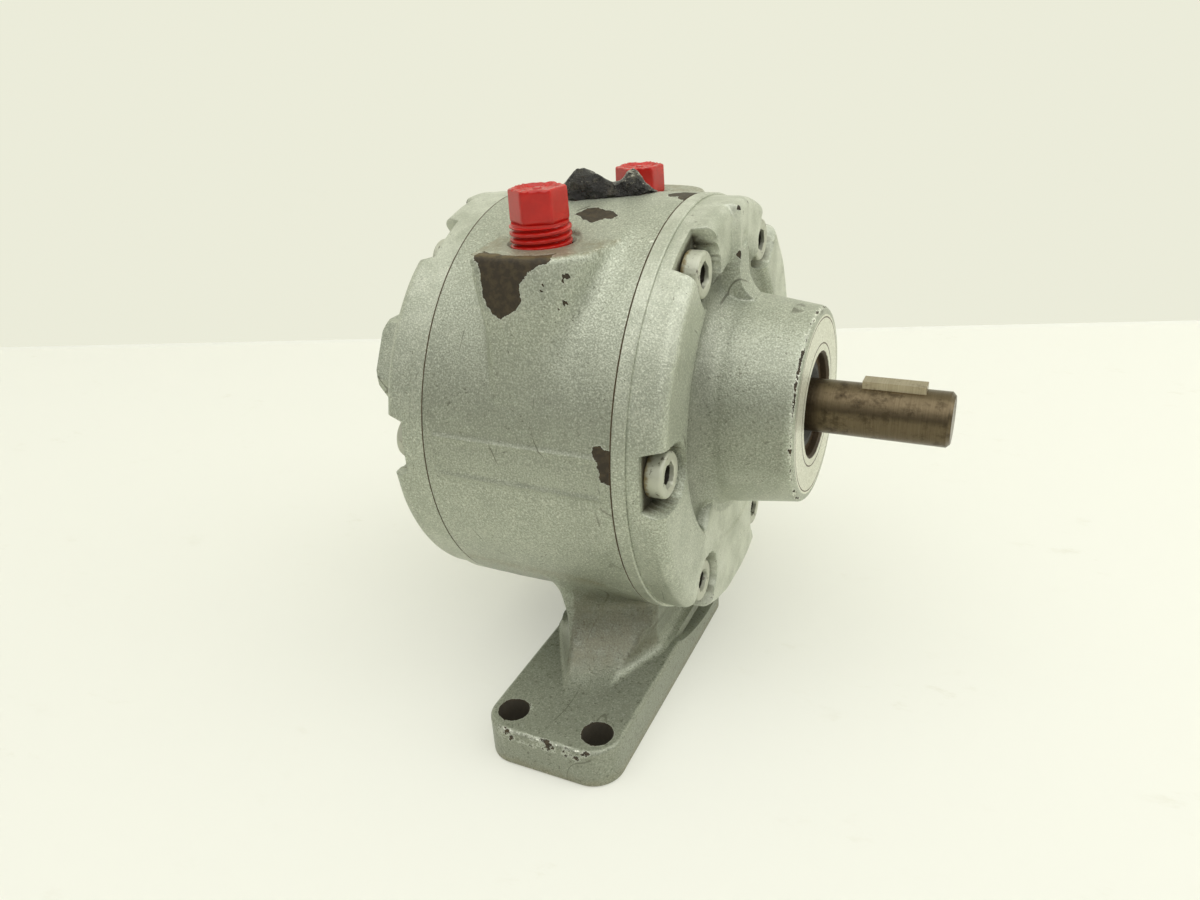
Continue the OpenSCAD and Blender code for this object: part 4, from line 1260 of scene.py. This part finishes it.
    def build(self, finish: bpy.types.Material) -> bpy.types.Object:
        """Joins shell, pedestal and foot, cuts the holes and marks chips, wear and painted shade.

        Args:
            finish: The casting paint.

        Returns:
            The body.
        """
        foot = combine(self.foot().mesh("foot"), self.cutters().mesh("foot_cuts"), "DIFFERENCE")
        core = self.bore_core().mesh("bore_core")
        pedestal = combine(self.pedestal().mesh("pedestal"), core, "DIFFERENCE")
        lower = combine(foot, pedestal, "UNION")
        shell = combine(self.shell().mesh("shell"), self.ports().mesh("ports"), "DIFFERENCE")
        mesh = combine(shell, lower, "UNION")
        mesh.name = "body_casting_painted"
        close_seams(mesh)
        shade(mesh, 38.0)
        for mark, values in self.marks(mesh_points(mesh)).items():
            set_mark(mesh, mark, values)
        return place_piece("body_casting_painted", mesh, finish, ("body_casting",))

    def marks(self, spots: Grid) -> dict[str, Grid]:
        """Where the body is chipped, worn or grimy, and where shade is painted on.

        Args:
            spots: Points of the mesh.

        Returns:
            Values from 0 to 1 by mark.
        """
        x, y, z = spots.T
        reach = np.hypot(y, z - self.datums.bore_z)
        chip = np.zeros(len(spots))
        for bare in CHIPS:
            chip = np.maximum(chip, bare.share(spots))
        for centre, size in FLECKS:
            far = np.linalg.norm((spots - np.array(centre)) / np.array(size), axis=1)
            chip = np.maximum(chip, 0.95 * fade(0.55, 1.25, far))
        near_in = self.datums.foot_near + y
        edge_in = np.minimum(np.minimum(near_in, self.foot_far - y), self.datums.foot_half_w - np.abs(x))
        foot_rim = hump(z, self.foot_t - 0.4, 0.45) * fade(0.6, 1.6, edge_in)
        foot_rim = foot_rim * np.where(near_in < 6.0, 1.0, 0.55)
        foot_end = fade(0.6, 3.0, near_in)
        hole = np.hypot(np.abs(x) - self.hole_x, y + self.hole_y) - self.hole_r
        hole_rim = fade(0.5, 1.7, np.abs(hole)) * (z > self.foot_t - 2.5) * (z < self.foot_t + 0.5)
        bored = (hole < 0.15) & (z < self.foot_t - 0.3)
        lower = fade(0.4, 2.2, z)
        face_in = np.minimum(np.abs(x - self.datums.front_x), np.abs(x - self.datums.rear_x))
        joint = fade(0.0, 0.45, face_in) * (np.abs(reach - self.datums.body_r) < 1.0)
        plaque = self.plaque_relief(x, y, z - self.datums.bore_z)
        plaque = np.where(reach > self.datums.body_r - 1.0, plaque, 0.0)
        port = np.hypot(x - self.datums.port_x, np.abs(y) - self.datums.port_y)
        # Painted shade on the pedestal's front under the body, near-black and brown.
        near_face = smooth(13.5, 17.0, z) * fade(32.0, 42.0, z) * (y < -36.0) * (x > -7.5) * (x < 15.9)
        seat_z = self.datums.bore_z + self.face_h
        boss_top = hump(z, seat_z, 0.4) * (reach > self.datums.body_r + 1.5)
        spot_edge = smooth(15.0, 17.0, port) * hump(z, seat_z - 0.3, 1.0)
        # Painted shade in the crease under the body, as a brown tone.
        under_body = hump(z, 43.5, 2.2) * (y < -20.0) * (x < 6.0)
        # Painted shade on the body's near side, about the bore's height.
        near_side_shade = hump(z, 96.0, 20.0) * (y < 0.0)
        return {
            "chip": chip + 0.50 * hole_rim + 0.40 * lower + 0.47 * foot_end * smooth(5.0, 9.5, z)
            + 0.38 * spot_edge + bored,
            "wear": 0.44 * foot_rim + 0.6 * plaque + 0.40 * spot_edge,
            # Painted shade: near-black in the bored holes and on the pedestal's front.
            "soot": np.where(bored, 0.8, 0.32 * near_face),
            "grime": 0.4 * lower + 0.55 * boss_top + 0.30 * near_face + 0.45 * under_body,
            "rust": joint * smooth(26.0, 32.0, z),
            # Cast grain with painted shade on the pedestal, the foot and the body's near side.
            "sand": np.maximum(fade(24.0, 46.0, z), 0.60 * near_side_shade),
        }


@dataclass(frozen=True)
class Chip:
    """A patch where the paint has come off the iron, drawn as an outline seen along Y or along Z."""

    outline: tuple[Pair, ...]
    from_above: bool
    limit: float

    def share(self, spots: Grid) -> Grid:
        """A half at the outline, more inside it and less outside.

        Args:
            spots: Points of the mesh.

        Returns:
            Values from 0 to 1, with 0 past the limit on the side that the outline isn't seen from.
        """
        x, y, z = spots.T
        depth = outline_depth(x, y if self.from_above else z, self.outline)
        seen = z > self.limit if self.from_above else y < self.limit
        return np.where(seen, np.clip(0.5 + 0.24 * depth, 0.0, 1.0), 0.0)


CHIPS: tuple[Chip, ...] = (
    Chip((
        (-23.9, 138.8), (-23.2, 137.0), (-22.6, 134.7), (-22.2, 131.0), (-21.4, 128.1), (-19.0, 125.4),
        (-16.6, 124.6), (-13.6, 125.8), (-11.9, 127.4), (-10.4, 129.4), (-11.0, 132.2), (-10.2, 134.2),
        (-8.6, 136.6), (-5.9, 138.0), (-4.6, 138.9),
    ), False, -40.0),
    Chip((
        (-12.6, -17.6), (-10.8, -13.6), (-7.4, -12.9), (-4.9, -14.6), (-2.2, -14.9), (0.6, -17.4),
        (-0.4, -19.4), (-3.2, -19.9), (-5.4, -22.2), (-8.6, -20.4),
    ), True, 138.0),
    Chip((
        (7.2, 2.2), (11.0, 6.4), (15.8, 6.0), (15.8, -6.4), (13.2, -3.8), (12.0, -1.2), (9.8, -1.6),
    ), True, 140.0),
    Chip((
        (10.4, 94.6), (12.8, 95.1), (14.2, 94.3), (15.8, 94.4), (15.8, 84.4), (13.1, 85.7), (12.6, 88.2),
        (12.0, 89.1), (12.2, 90.8), (10.9, 92.0),
    ), False, -55.0),
)
FLECKS: tuple[tuple[Place, Place], ...] = (
    ((0.3, -50.6, 135.0), (1.5, 1.2, 0.8)),
    ((-0.6, -50.9, 133.7), (0.8, 1.0, 0.6)),
    ((-4.8, -53.5, 133.4), (0.5, 0.8, 0.6)),
    ((-7.3, -54.4, 131.9), (0.5, 0.8, 0.5)),
    ((-5.0, -54.0, 131.8), (0.4, 0.8, 0.4)),
    ((0.0, -51.4, 128.4), (0.8, 0.9, 0.9)),
    ((-1.3, -52.7, 126.8), (0.6, 0.8, 0.5)),
    ((1.3, -51.1, 123.5), (0.5, 0.8, 0.4)),
)


def combine(base: bpy.types.Mesh, tool: bpy.types.Mesh, way: str) -> bpy.types.Mesh:
    """Joins one closed mesh to another, or cuts it away.

    Args:
        base: The mesh to keep.
        tool: The mesh to join or cut with.
        way: UNION or DIFFERENCE.

    Returns:
        The new mesh.
    """
    scene = bpy.context.scene.collection
    kept = bpy.data.objects.new("work_base", base)
    other = bpy.data.objects.new("work_tool", tool)
    scene.objects.link(kept)
    scene.objects.link(other)
    modifier = kept.modifiers.new("combine", "BOOLEAN")
    modifier.operation = way
    modifier.solver = "EXACT"
    modifier.object = other
    result = bpy.data.meshes.new_from_object(kept.evaluated_get(bpy.context.evaluated_depsgraph_get()))
    for work in (kept, other):
        bpy.data.objects.remove(work)
    return result


@dataclass
class CapScrews:
    """Six socket cap screws of one cover, with rounded, painted heads and torn sockets."""

    datums: Datums
    end: End
    circle_r: float = SCREW_CIRCLE_R
    turn: float = SCREW_TURN
    seat_t: float = SCREW_SEAT_T
    grip: float = 15.0
    shank_r: float = 3.95
    head_r: float = 6.45
    head_h: float = 5.0
    head_edge_r: float = 0.9
    socket_flats: float = 6.3
    socket_h: float = 3.4
    socket_rows: int = 6
    columns: int = 72

    @property
    def socket_r(self) -> float:
        """Mean radius of the socket at its floor, between the hexagon's flats and corners."""
        return self.socket_flats * 0.58

    def section(self) -> Grid:
        """A screw's outside as radius and height over its seat, from the tip to the socket's floor."""
        top, edge, floor = self.head_h, self.head_edge_r, self.head_h - self.socket_h
        return np.concatenate([
            [(0.0, -self.grip), (self.shank_r - 0.6, -self.grip), (self.shank_r, 0.6 - self.grip)],
            [(self.shank_r, 0.05), (self.head_r - 0.3, 0.05)],
            line((self.head_r, 0.4), (self.head_r, top - edge), 6),
            arc((self.head_r - edge, top - edge), edge, 0.0, 90.0, 7)[1:],
            line((self.head_r - edge - 0.3, top), (self.socket_flats * 0.66, top), 5),
            line((self.socket_flats * 0.62, top - 0.25), (self.socket_r, floor), self.socket_rows),
            [(0.0, floor - 0.9)],
        ])

    def build(self, finish: bpy.types.Material) -> bpy.types.Object:
        """Turns the section about each screw's axis, with the socket drawn in to a hexagon.

        Args:
            finish: The screws' steel.

        Returns:
            The six screws as one piece.
        """
        section = self.section()
        around_screw = around(self.columns)
        from_rim = np.arange(len(section)) - (len(section) - self.socket_rows - 2)
        in_socket = smooth(0.0, 1.0, from_rim)[:, None]
        skin = Skin()
        for index in range(6):
            spin = 0.35 + 0.8 * index
            corner = hex_radius(around_screw - spin, self.socket_flats, self.socket_flats * 0.56)
            shape = corner / self.socket_r
            radius = section[:, :1] * (1.0 + (shape[None, :] - 1.0) * in_socket)
            height = np.repeat(section[:, 1:], self.columns, axis=1)
            spot = turned(height, radius, around_screw, 0.0)
            torn = lattice_noise(spot + 40.0 * index, 1.6, 41)
            radius = radius * (1.0 + 0.12 * torn * in_socket)
            angle = math.radians(self.turn + 60.0 * index)
            y = self.circle_r * math.cos(angle) + radius * np.cos(around_screw)
            z = self.datums.bore_z + self.circle_r * math.sin(angle) + radius * np.sin(around_screw)
            x = self.datums.face_x(self.end) + self.end.side * (self.seat_t + height)
            low = fade(0.3, 2.6, height)
            # Painted shade in the socket, rising towards its floor.
            dark = smooth(self.head_h - 0.3, self.head_h - 2.4, height) * in_socket
            skin.add(xyz(x, y, z), grime=np.clip(0.16 + 0.45 * low, 0, 1), dark=dark)
        name = f"{self.end.value}_end_cap_screws"
        return place_piece(name, skin.mesh(name), finish, (f"{self.end.value}_end_screws",))


@dataclass
class PortPlug:
    """A red shipping plug: a hexagon over a coarse tapered thread, with a ragged moulded top."""

    datums: Datums
    node: str
    hex_turn: float
    hex_flats: float = 14.2
    hex_corner: float = 0.568
    hex_h: float = 9.0
    pitch: float = 1.85
    crest_r: float = 8.45
    thread_h: float = 1.1
    seed: int = 1
    columns: int = 192
    thread_rows: int = 110
    side_rows: int = 16

    def build(self, finish: bpy.types.Material) -> bpy.types.Object:
        """Builds the plug as one grid of level rings: tip, helical thread, neck, hexagon and top.

        Args:
            finish: The red plastic.

        Returns:
            The plug.
        """
        low, high = node_box(self.node)
        centre = (low + high) / 2.0
        neck_z = high[2] - self.hex_h
        turn = around(self.columns)
        thread_z = np.linspace(low[2], neck_z - 0.9, self.thread_rows)
        wind = np.mod(thread_z[:, None] / self.pitch - turn[None, :] / (2.0 * np.pi), 1.0)
        crest = smooth(0.0, 0.32, wind) * fade(0.62, 0.98, wind)
        lead_in = smooth(0.0, 1.2, thread_z - low[2])[:, None]
        thread = self.crest_r - self.thread_h + self.thread_h * crest * lead_in
        corner = self.hex_flats * self.hex_corner
        hexagon = hex_radius(turn - math.radians(self.hex_turn), self.hex_flats, corner)
        neck = np.full((2, self.columns), self.crest_r - 0.6)
        sides_z = np.concatenate([
            neck_z + np.array([0.0, 0.25, 0.7]),
            np.linspace(neck_z + 1.2, high[2] - 0.8, self.side_rows),
        ])
        draft = np.concatenate([[0.955, 0.985, 1.0], np.linspace(1.0, 0.985, self.side_rows)])
        sides = hexagon[None, :] * draft[:, None]
        top_share = np.array([0.975, 0.94, 0.90, 0.80, 0.74, 0.70, 0.40, 0.16, 0.13, 0.0])
        top_drop = np.array([0.35, 0.10, 0.05, 0.10, 0.55, 0.75, 0.80, 0.75, 0.35, 0.30])
        crown = hexagon[None, :] * top_share[:, None]
        radius = np.concatenate([np.zeros((1, self.columns)), thread, neck, sides, crown])
        neck_level = [neck_z - 0.7, neck_z - 0.05]
        level = np.concatenate([low[2:], thread_z, neck_level, sides_z, high[2] - top_drop])
        z = np.repeat(level[:, None], self.columns, axis=1)
        x, y = centre[0] + radius * np.cos(turn), centre[1] + radius * np.sin(turn)
        spot = xyz(x, y, z + 50.0 * self.seed)
        near_top = smooth(high[2] - 1.6, high[2] - 0.2, z) * (radius > 3.0)
        ragged = near_top * np.abs(lattice_noise(spot, 1.6, 51))
        z = z - 0.5 * ragged
        edge = smooth(0.93, 1.0, np.cos(3.0 * (turn - math.radians(self.hex_turn + 30.0))) ** 2)
        scuff = np.clip(0.32 * near_top + 0.25 * edge[None, :] * (z > neck_z), 0.0, 1.0)
        skin = Skin.of(xyz(x, y, z), scuff=scuff)
        name = f"{self.node}_moulded"
        return place_piece(name, skin.mesh(name, 32.0), finish, (self.node,))


@dataclass
class EndCap:
    """The painted hexagon cap screwed into the dead end's boss."""

    datums: Datums
    flats: float = 34.9
    length: float = 14.0
    spigot_r: float = 12.9
    chamfer: float = 1.6
    turn: float = 31.0
    columns: int = 216
    side_rows: int = 14

    def build(self, finish: bpy.types.Material) -> bpy.types.Object:
        """Builds the cap as rings along the axis: spigot, inner face, hexagon, chamfer and outer face.

        Args:
            finish: The casting paint.

        Returns:
            The cap.
        """
        low, high = node_box("end_cap")
        outer_x, inner_x = low[0], low[0] + self.length
        turn = around(self.columns) + math.radians(self.turn - 30.0)
        full = self.flats / math.sqrt(3.0)
        hexagon = hex_radius(turn - math.radians(self.turn), self.flats, full)
        sides = np.linspace(inner_x - 0.6, outer_x + 0.15, self.side_rows)
        cut = np.clip((self.chamfer - (sides - outer_x)) / self.chamfer, 0.0, 1.0)
        limit = full - self.chamfer * cut
        body = soft_min(hexagon[None, :], limit[:, None], 0.12)
        start = np.outer([0.0, self.spigot_r, self.spigot_r], np.ones(self.columns))
        face = np.outer([0.985, 0.96, 0.86, 0.5, 0.0], body[-1])
        radius = np.concatenate([start, hexagon[None, :] * 0.97, body, face])
        along = np.concatenate([
            [high[0], high[0], inner_x - 0.05, inner_x - 0.05],
            sides,
            outer_x + np.array([0.06, 0.0, 0.0, 0.0, 0.0]),
        ])
        corner = smooth(0.985, 1.0, hexagon / hexagon.max())[None, :] * smooth(16.0, 19.0, radius)
        grid = turned(along[:, None], radius, turn, self.datums.shaft_z)
        skin = Skin.of(grid, wear=0.4 * corner, chip=0.30 * corner)
        name = "end_cap_painted"
        return place_piece(name, skin.mesh(name), finish, ("end_cap",))


@dataclass
class WrappingScrap:
    """A torn, crumpled scrap of black film left on the crown between the plugs."""

    datums: Datums
    middle_x: float = -11.0
    middle_y: float = 0.5
    heading: float = 24.0
    length: float = 29.0
    width: float = 12.0
    height: float = 7.6
    gap: float = 0.25
    rows: int = 120
    columns: int = 140

    def build(self, finish: bpy.types.Material) -> bpy.types.Object:
        """Builds the scrap as rings along its length over the round crown, crumpled by folded noise.

        Args:
            finish: The black film.

        Returns:
            The scrap.
        """
        along = np.linspace(-1.0, 1.0, self.rows)[:, None]
        turn = around(self.columns)[None, :]
        taper = np.sqrt(np.clip(1.0 - np.abs(along) ** 5.0, 0.0, None))
        side = self.width / 2.0 * np.cos(turn) * taper
        lift = np.clip(np.sin(turn), 0.0, None) ** 0.7 * np.ones_like(along)
        peaks = 0.28 + 0.92 * hump(along, -0.42, 0.42) + 0.66 * hump(along, 0.58, 0.26)
        run = self.length / 2.0 * along * np.ones_like(turn)
        spot = xyz(run, side, lift * self.height)
        fold = np.abs(lattice_noise(spot, 5.2, 61)) + 0.5 * np.abs(lattice_noise(spot, 2.4, 63))
        fine = lattice_noise(spot, 1.3, 67)
        rise = self.height * lift * taper * peaks * (1.0 - 0.34 * fold)
        rise = np.clip(rise + 0.35 * fine * lift, 0.0, self.height)
        side = side * (1.0 + 0.22 * lattice_noise(spot, 4.0, 71)) + 0.5 * fine
        run = run + 1.6 * lattice_noise(spot, 4.4, 73)
        heading = math.radians(self.heading)
        x = self.middle_x + run * math.cos(heading) - side * math.sin(heading)
        y = self.middle_y + run * math.sin(heading) + side * math.cos(heading)
        crown = np.sqrt(np.clip(self.datums.body_r**2 - y**2, 0.0, None))
        z = self.datums.bore_z + crown + self.gap + rise
        grid = xyz(x, y, z)
        # Pale flecks on the crests and upper side of the folds, more on the far lump: partly paint, partly
        # painted highlights.
        silver = np.clip(1.0 - 1.6 * fold, 0.0, 1.0) * lift * np.where(along > 0.25, 1.6, 0.8)
        ends = np.repeat(grid[[0, -1]].mean(axis=1, keepdims=True), self.columns, axis=1)
        skin = Skin.of(grid, silver=silver)
        skin.add(np.concatenate([ends[:1], grid[:1]]))
        skin.add(np.concatenate([grid[-1:], ends[1:]]))
        name = "wrapping_scrap_film"
        return place_piece(name, skin.mesh(name, 28.0), finish, ("wrapping_scrap",))


@dataclass
class InnerWorks:
    """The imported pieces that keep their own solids: shaft, key, rotor, vanes, bearings and seals."""

    finishes: dict[str, tuple[str, ...]]

    def dress(self, made: dict[str, bpy.types.Material]) -> None:
        """Puts each finish on the material slots of its nodes.

        Args:
            made: Materials by the names used in finishes.
        """
        for finish, nodes in self.finishes.items():
            for node in nodes:
                for place in frame["nodes"][node].material_slots:
                    place.material = made[finish]
                LOG.info("%s: dressed in %s", node, finish)


@dataclass
class Studio:
    """Pale floor and wall, soft lamps, a sky that dims towards the horizon, and the camera."""

    wall_a: Pair = (-579.0, 133.0)
    wall_b: Pair = (205.0, 395.0)
    half_run: float = 6000.0
    floor_reach: float = 4000.0
    wall_h: float = 4000.0
    cove_r: float = 6.0
    sky_tone: Colour = (1.0, 0.985, 0.93)
    sky_full_up: float = 0.8
    sky_low: float = 0.12
    sky_high: float = 1.08
    lens: float = 27.0
    sensor_w: float = 36.0
    clip: Pair = (0.01, 50.0)
    eye: Place = (106.41, -247.58, 192.90)
    azimuth: float = 26.862
    elevation: float = 25.529
    roll: float = -3.942

    def build_ground(self, floor: bpy.types.Material, wall: bpy.types.Material) -> None:
        """Makes the floor and the wall as a profile carried along the wall's foot, and stages them.

        Args:
            floor: The floor's paper.
            wall: The wall's paper.
        """
        start, end = np.array(self.wall_a), np.array(self.wall_b)
        run = (end - start) / np.linalg.norm(end - start)
        out = np.array([run[1], -run[0]])
        middle = (start + end) / 2.0
        cove = arc((self.cove_r, self.cove_r), self.cove_r, 270.0, 180.0, 7)
        floor_line = np.concatenate([line((self.floor_reach, 0.0), (self.cove_r, 0.0), 24)[:-1], cove[:4]])
        wall_line = np.concatenate([cove[3:], [(0.0, self.wall_h)]])
        for name, profile, finish in (("floor", floor_line, floor), ("wall", wall_line, wall)):
            steps = np.linspace(-self.half_run, self.half_run, 25)
            plan = middle + run * steps[:, None, None] + out * profile[None, :, :1]
            grid = xyz(plan[..., 0], plan[..., 1], profile[:, 1]) * MM
            index = np.arange(grid.shape[0] * grid.shape[1]).reshape(grid.shape[:2])
            quads = np.stack([index[:-1, :-1], index[:-1, 1:], index[1:, 1:], index[1:, :-1]], axis=-1)
            mesh = bpy.data.meshes.new(f"studio_{name}")
            mesh.from_pydata(grid.reshape(-1, 3).tolist(), [], quads.reshape(-1, 4).tolist())
            mesh.materials.append(finish)
            shade(mesh, 60.0)
            ground = bpy.data.objects.new(f"studio_{name}", mesh)
            bpy.context.scene.collection.objects.link(ground)

    def build_lamp(self, name: str, place: Place, aim: Place, size: float, power: float) -> None:
        """Hangs one square soft lamp that looks at a place.

        Args:
            name: Name of the lamp.
            place: Its place in metres.
            aim: Where it looks, in metres.
            size: Its side in metres.
            power: Its power in watts.
        """
        lamp = bpy.data.lights.new(name, "AREA")
        lamp.size = size
        lamp.energy = power
        holder = bpy.data.objects.new(name, lamp)
        back = np.array(place) - np.array(aim)
        back = back / np.linalg.norm(back)
        right = np.cross([0.0, 1.0, 0.0] if abs(back[2]) > 0.99 else [0.0, 0.0, 1.0], back)
        right = right / np.linalg.norm(right)
        axes = np.stack([right, np.cross(back, right), back], axis=1)
        holder.matrix_world = Matrix.Translation(place) @ Matrix(axes.tolist()).to_4x4()
        bpy.context.scene.collection.objects.link(holder)

    def build_sky(self) -> None:
        """Lights everything softly from above, with a sky that dims towards the horizon."""
        world = bpy.data.worlds.new("studio_sky")
        bpy.context.scene.world = world
        world.use_nodes = True
        nodes, links = world.node_tree.nodes, world.node_tree.links
        sky = nodes["Background"]
        sky.inputs["Color"].default_value = (*self.sky_tone, 1.0)
        split = nodes.new("ShaderNodeSeparateXYZ")
        links.new(nodes.new("ShaderNodeTexCoord").outputs["Generated"], split.inputs["Vector"])
        level = nodes.new("ShaderNodeMapRange")
        level.interpolation_type = "SMOOTHSTEP"
        level.inputs["From Max"].default_value = self.sky_full_up
        level.inputs["To Min"].default_value = self.sky_low
        level.inputs["To Max"].default_value = self.sky_high
        links.new(split.outputs["Z"], level.inputs["Value"])
        links.new(level.outputs["Result"], sky.inputs["Strength"])

    def build_camera(self) -> None:
        """Sets the camera from its eye point and its three angles."""
        turn, lift, roll = (math.radians(a) for a in (self.azimuth, self.elevation, self.roll))
        back = np.array([
            math.sin(turn) * math.cos(lift), -math.cos(turn) * math.cos(lift), math.sin(lift)
        ])
        right = np.array([math.cos(turn), math.sin(turn), 0.0])
        up = np.cross(back, right)
        axes = np.stack([
            right * math.cos(roll) + up * math.sin(roll),
            up * math.cos(roll) - right * math.sin(roll),
            back,
        ], axis=1)
        lens = bpy.data.cameras.new("studio_camera")
        lens.lens = self.lens
        lens.sensor_width = self.sensor_w
        lens.clip_start, lens.clip_end = self.clip
        camera = bpy.data.objects.new("studio_camera", lens)
        eye = Matrix.Translation([value * MM for value in self.eye])
        camera.matrix_world = eye @ Matrix(axes.tolist()).to_4x4()
        bpy.context.scene.collection.objects.link(camera)
        bpy.context.scene.camera = camera


def build_finishes() -> dict[str, bpy.types.Material]:
    """Makes each finish once and gives it back by its short name."""
    sheets = {
        "paint": CastingPaint(),
        "screw": ScrewSteel(),
        "shaft": TurnedSteel(
            "shaft_steel_browned", (0.145, 0.113, 0.066), (0.083, 0.061, 0.033), (0.029, 0.021, 0.011),
            stained=0.26, rough=0.30,
        ),
        "key": TurnedSteel(
            "key_steel_rubbed", (0.430, 0.375, 0.260), (0.235, 0.190, 0.115), (0.070, 0.054, 0.031),
            stained=0.16, rough=0.34,
        ),
        "bright": TurnedSteel(
            "bearing_steel_oiled", (0.560, 0.555, 0.520), (0.380, 0.360, 0.300), (0.200, 0.180, 0.130),
            stained=-0.10, rough=0.22,
        ),
        "seal_case": TurnedSteel(
            "seal_case_rusted", (0.200, 0.150, 0.085), (0.115, 0.076, 0.038), (0.050, 0.033, 0.017),
            stained=0.45, rough=0.55,
        ),
        "rotor": TurnedSteel(
            "rotor_iron_ground", (0.300, 0.295, 0.280), (0.190, 0.180, 0.160), (0.090, 0.085, 0.075),
            stained=0.05, rough=0.38,
        ),
        "vane": MouldedSolid(
            "vane_composite_laminate", (0.130, 0.068, 0.030), (0.085, 0.043, 0.019), (0.230, 0.150, 0.085),
            scuffed=-0.02, rough=0.50, grain=0.7,
        ),
        "brass": MouldedSolid(
            "cage_brass_pressed", (0.560, 0.400, 0.130), (0.430, 0.290, 0.085), (0.650, 0.520, 0.240),
            scuffed=-0.02, rough=0.30, grain=0.8, metal=0.9,
        ),
        "rubber": MouldedSolid(
            "seal_rubber_oiled", (0.022, 0.020, 0.017), (0.014, 0.013, 0.011), (0.060, 0.052, 0.040),
            scuffed=0.0, rough=0.48, grain=0.5,
        ),
        "red": MouldedSolid(
            "red_plastic_scuffed", (0.520, 0.012, 0.007), (0.430, 0.009, 0.005), (0.700, 0.300, 0.250),
            scuffed=-0.03, rough=0.27, grain=0.9,
        ),
        "film": BlackFilm(),
        "floor": StudioPaper("floor_paper", (0.838, 0.844, 0.762), (0.690, 0.680, 0.550), own_tone=0.40),
        "wall": StudioPaper("wall_paper", (0.835, 0.838, 0.700), (0.815, 0.818, 0.680), own_tone=1.0),
    }
    return {name: sheet.build() for name, sheet in sheets.items()}


def main() -> None:
    """Builds the castings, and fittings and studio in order."""
    logging.basicConfig(level=logging.INFO, format="%(name)s %(message)s")
    datums = Datums.measure()
    made = build_finishes()
    BodyCasting(datums).build(made["paint"])
    EndCover(
        datums, End.DRIVE, mouth_r=15.35, mouth_in=29.9, hub_face_r=29.3, hub_root_r=31.8
    ).build(made["paint"])
    EndCover(
        datums, End.DEAD, mouth_r=13.05, mouth_in=30.1, hub_face_r=24.5, hub_root_r=27.0
    ).build(made["paint"])
    for end in End:
        CapScrews(datums, end).build(made["screw"])
    EndCap(datums).build(made["paint"])
    for seed, node in enumerate(("plug_near", "plug_far"), start=1):
        PortPlug(datums, node, hex_turn=54.0, seed=seed).build(made["red"])
    WrappingScrap(datums).build(made["film"])
    InnerWorks({
        "shaft": ("shaft",),
        "key": ("shaft_key",),
        "bright": (
            "dead_bearing_balls", "dead_bearing_inner", "dead_bearing_outer", "dead_end_dowels",
            "drive_bearing_balls", "drive_bearing_inner", "drive_bearing_outer", "drive_end_dowels",
            "retaining_ring", "wave_washer",
        ),
        "brass": ("dead_bearing_cage", "drive_bearing_cage"),
        "seal_case": ("seal_case",),
        "rubber": ("end_cap_oring", "seal_lip"),
        "rotor": ("rotor",),
        "vane": ("vane_1", "vane_2", "vane_3", "vane_4"),
    }).dress(made)
    studio = Studio()
    studio.build_ground(made["floor"], made["wall"])
    studio.build_lamp("lamp_over", place=(0.20, -0.10, 1.5), aim=(0.0, 0.0, 0.08), size=2.4, power=18.0)
    studio.build_lamp("lamp_right", place=(1.05, 0.28, 0.60), aim=(0.0, 0.0, 0.08), size=0.6, power=2.3)
    studio.build_sky()
    studio.build_camera()
    bpy.context.scene.view_settings.view_transform = "Standard"


if __name__ == "__main__":
    main()
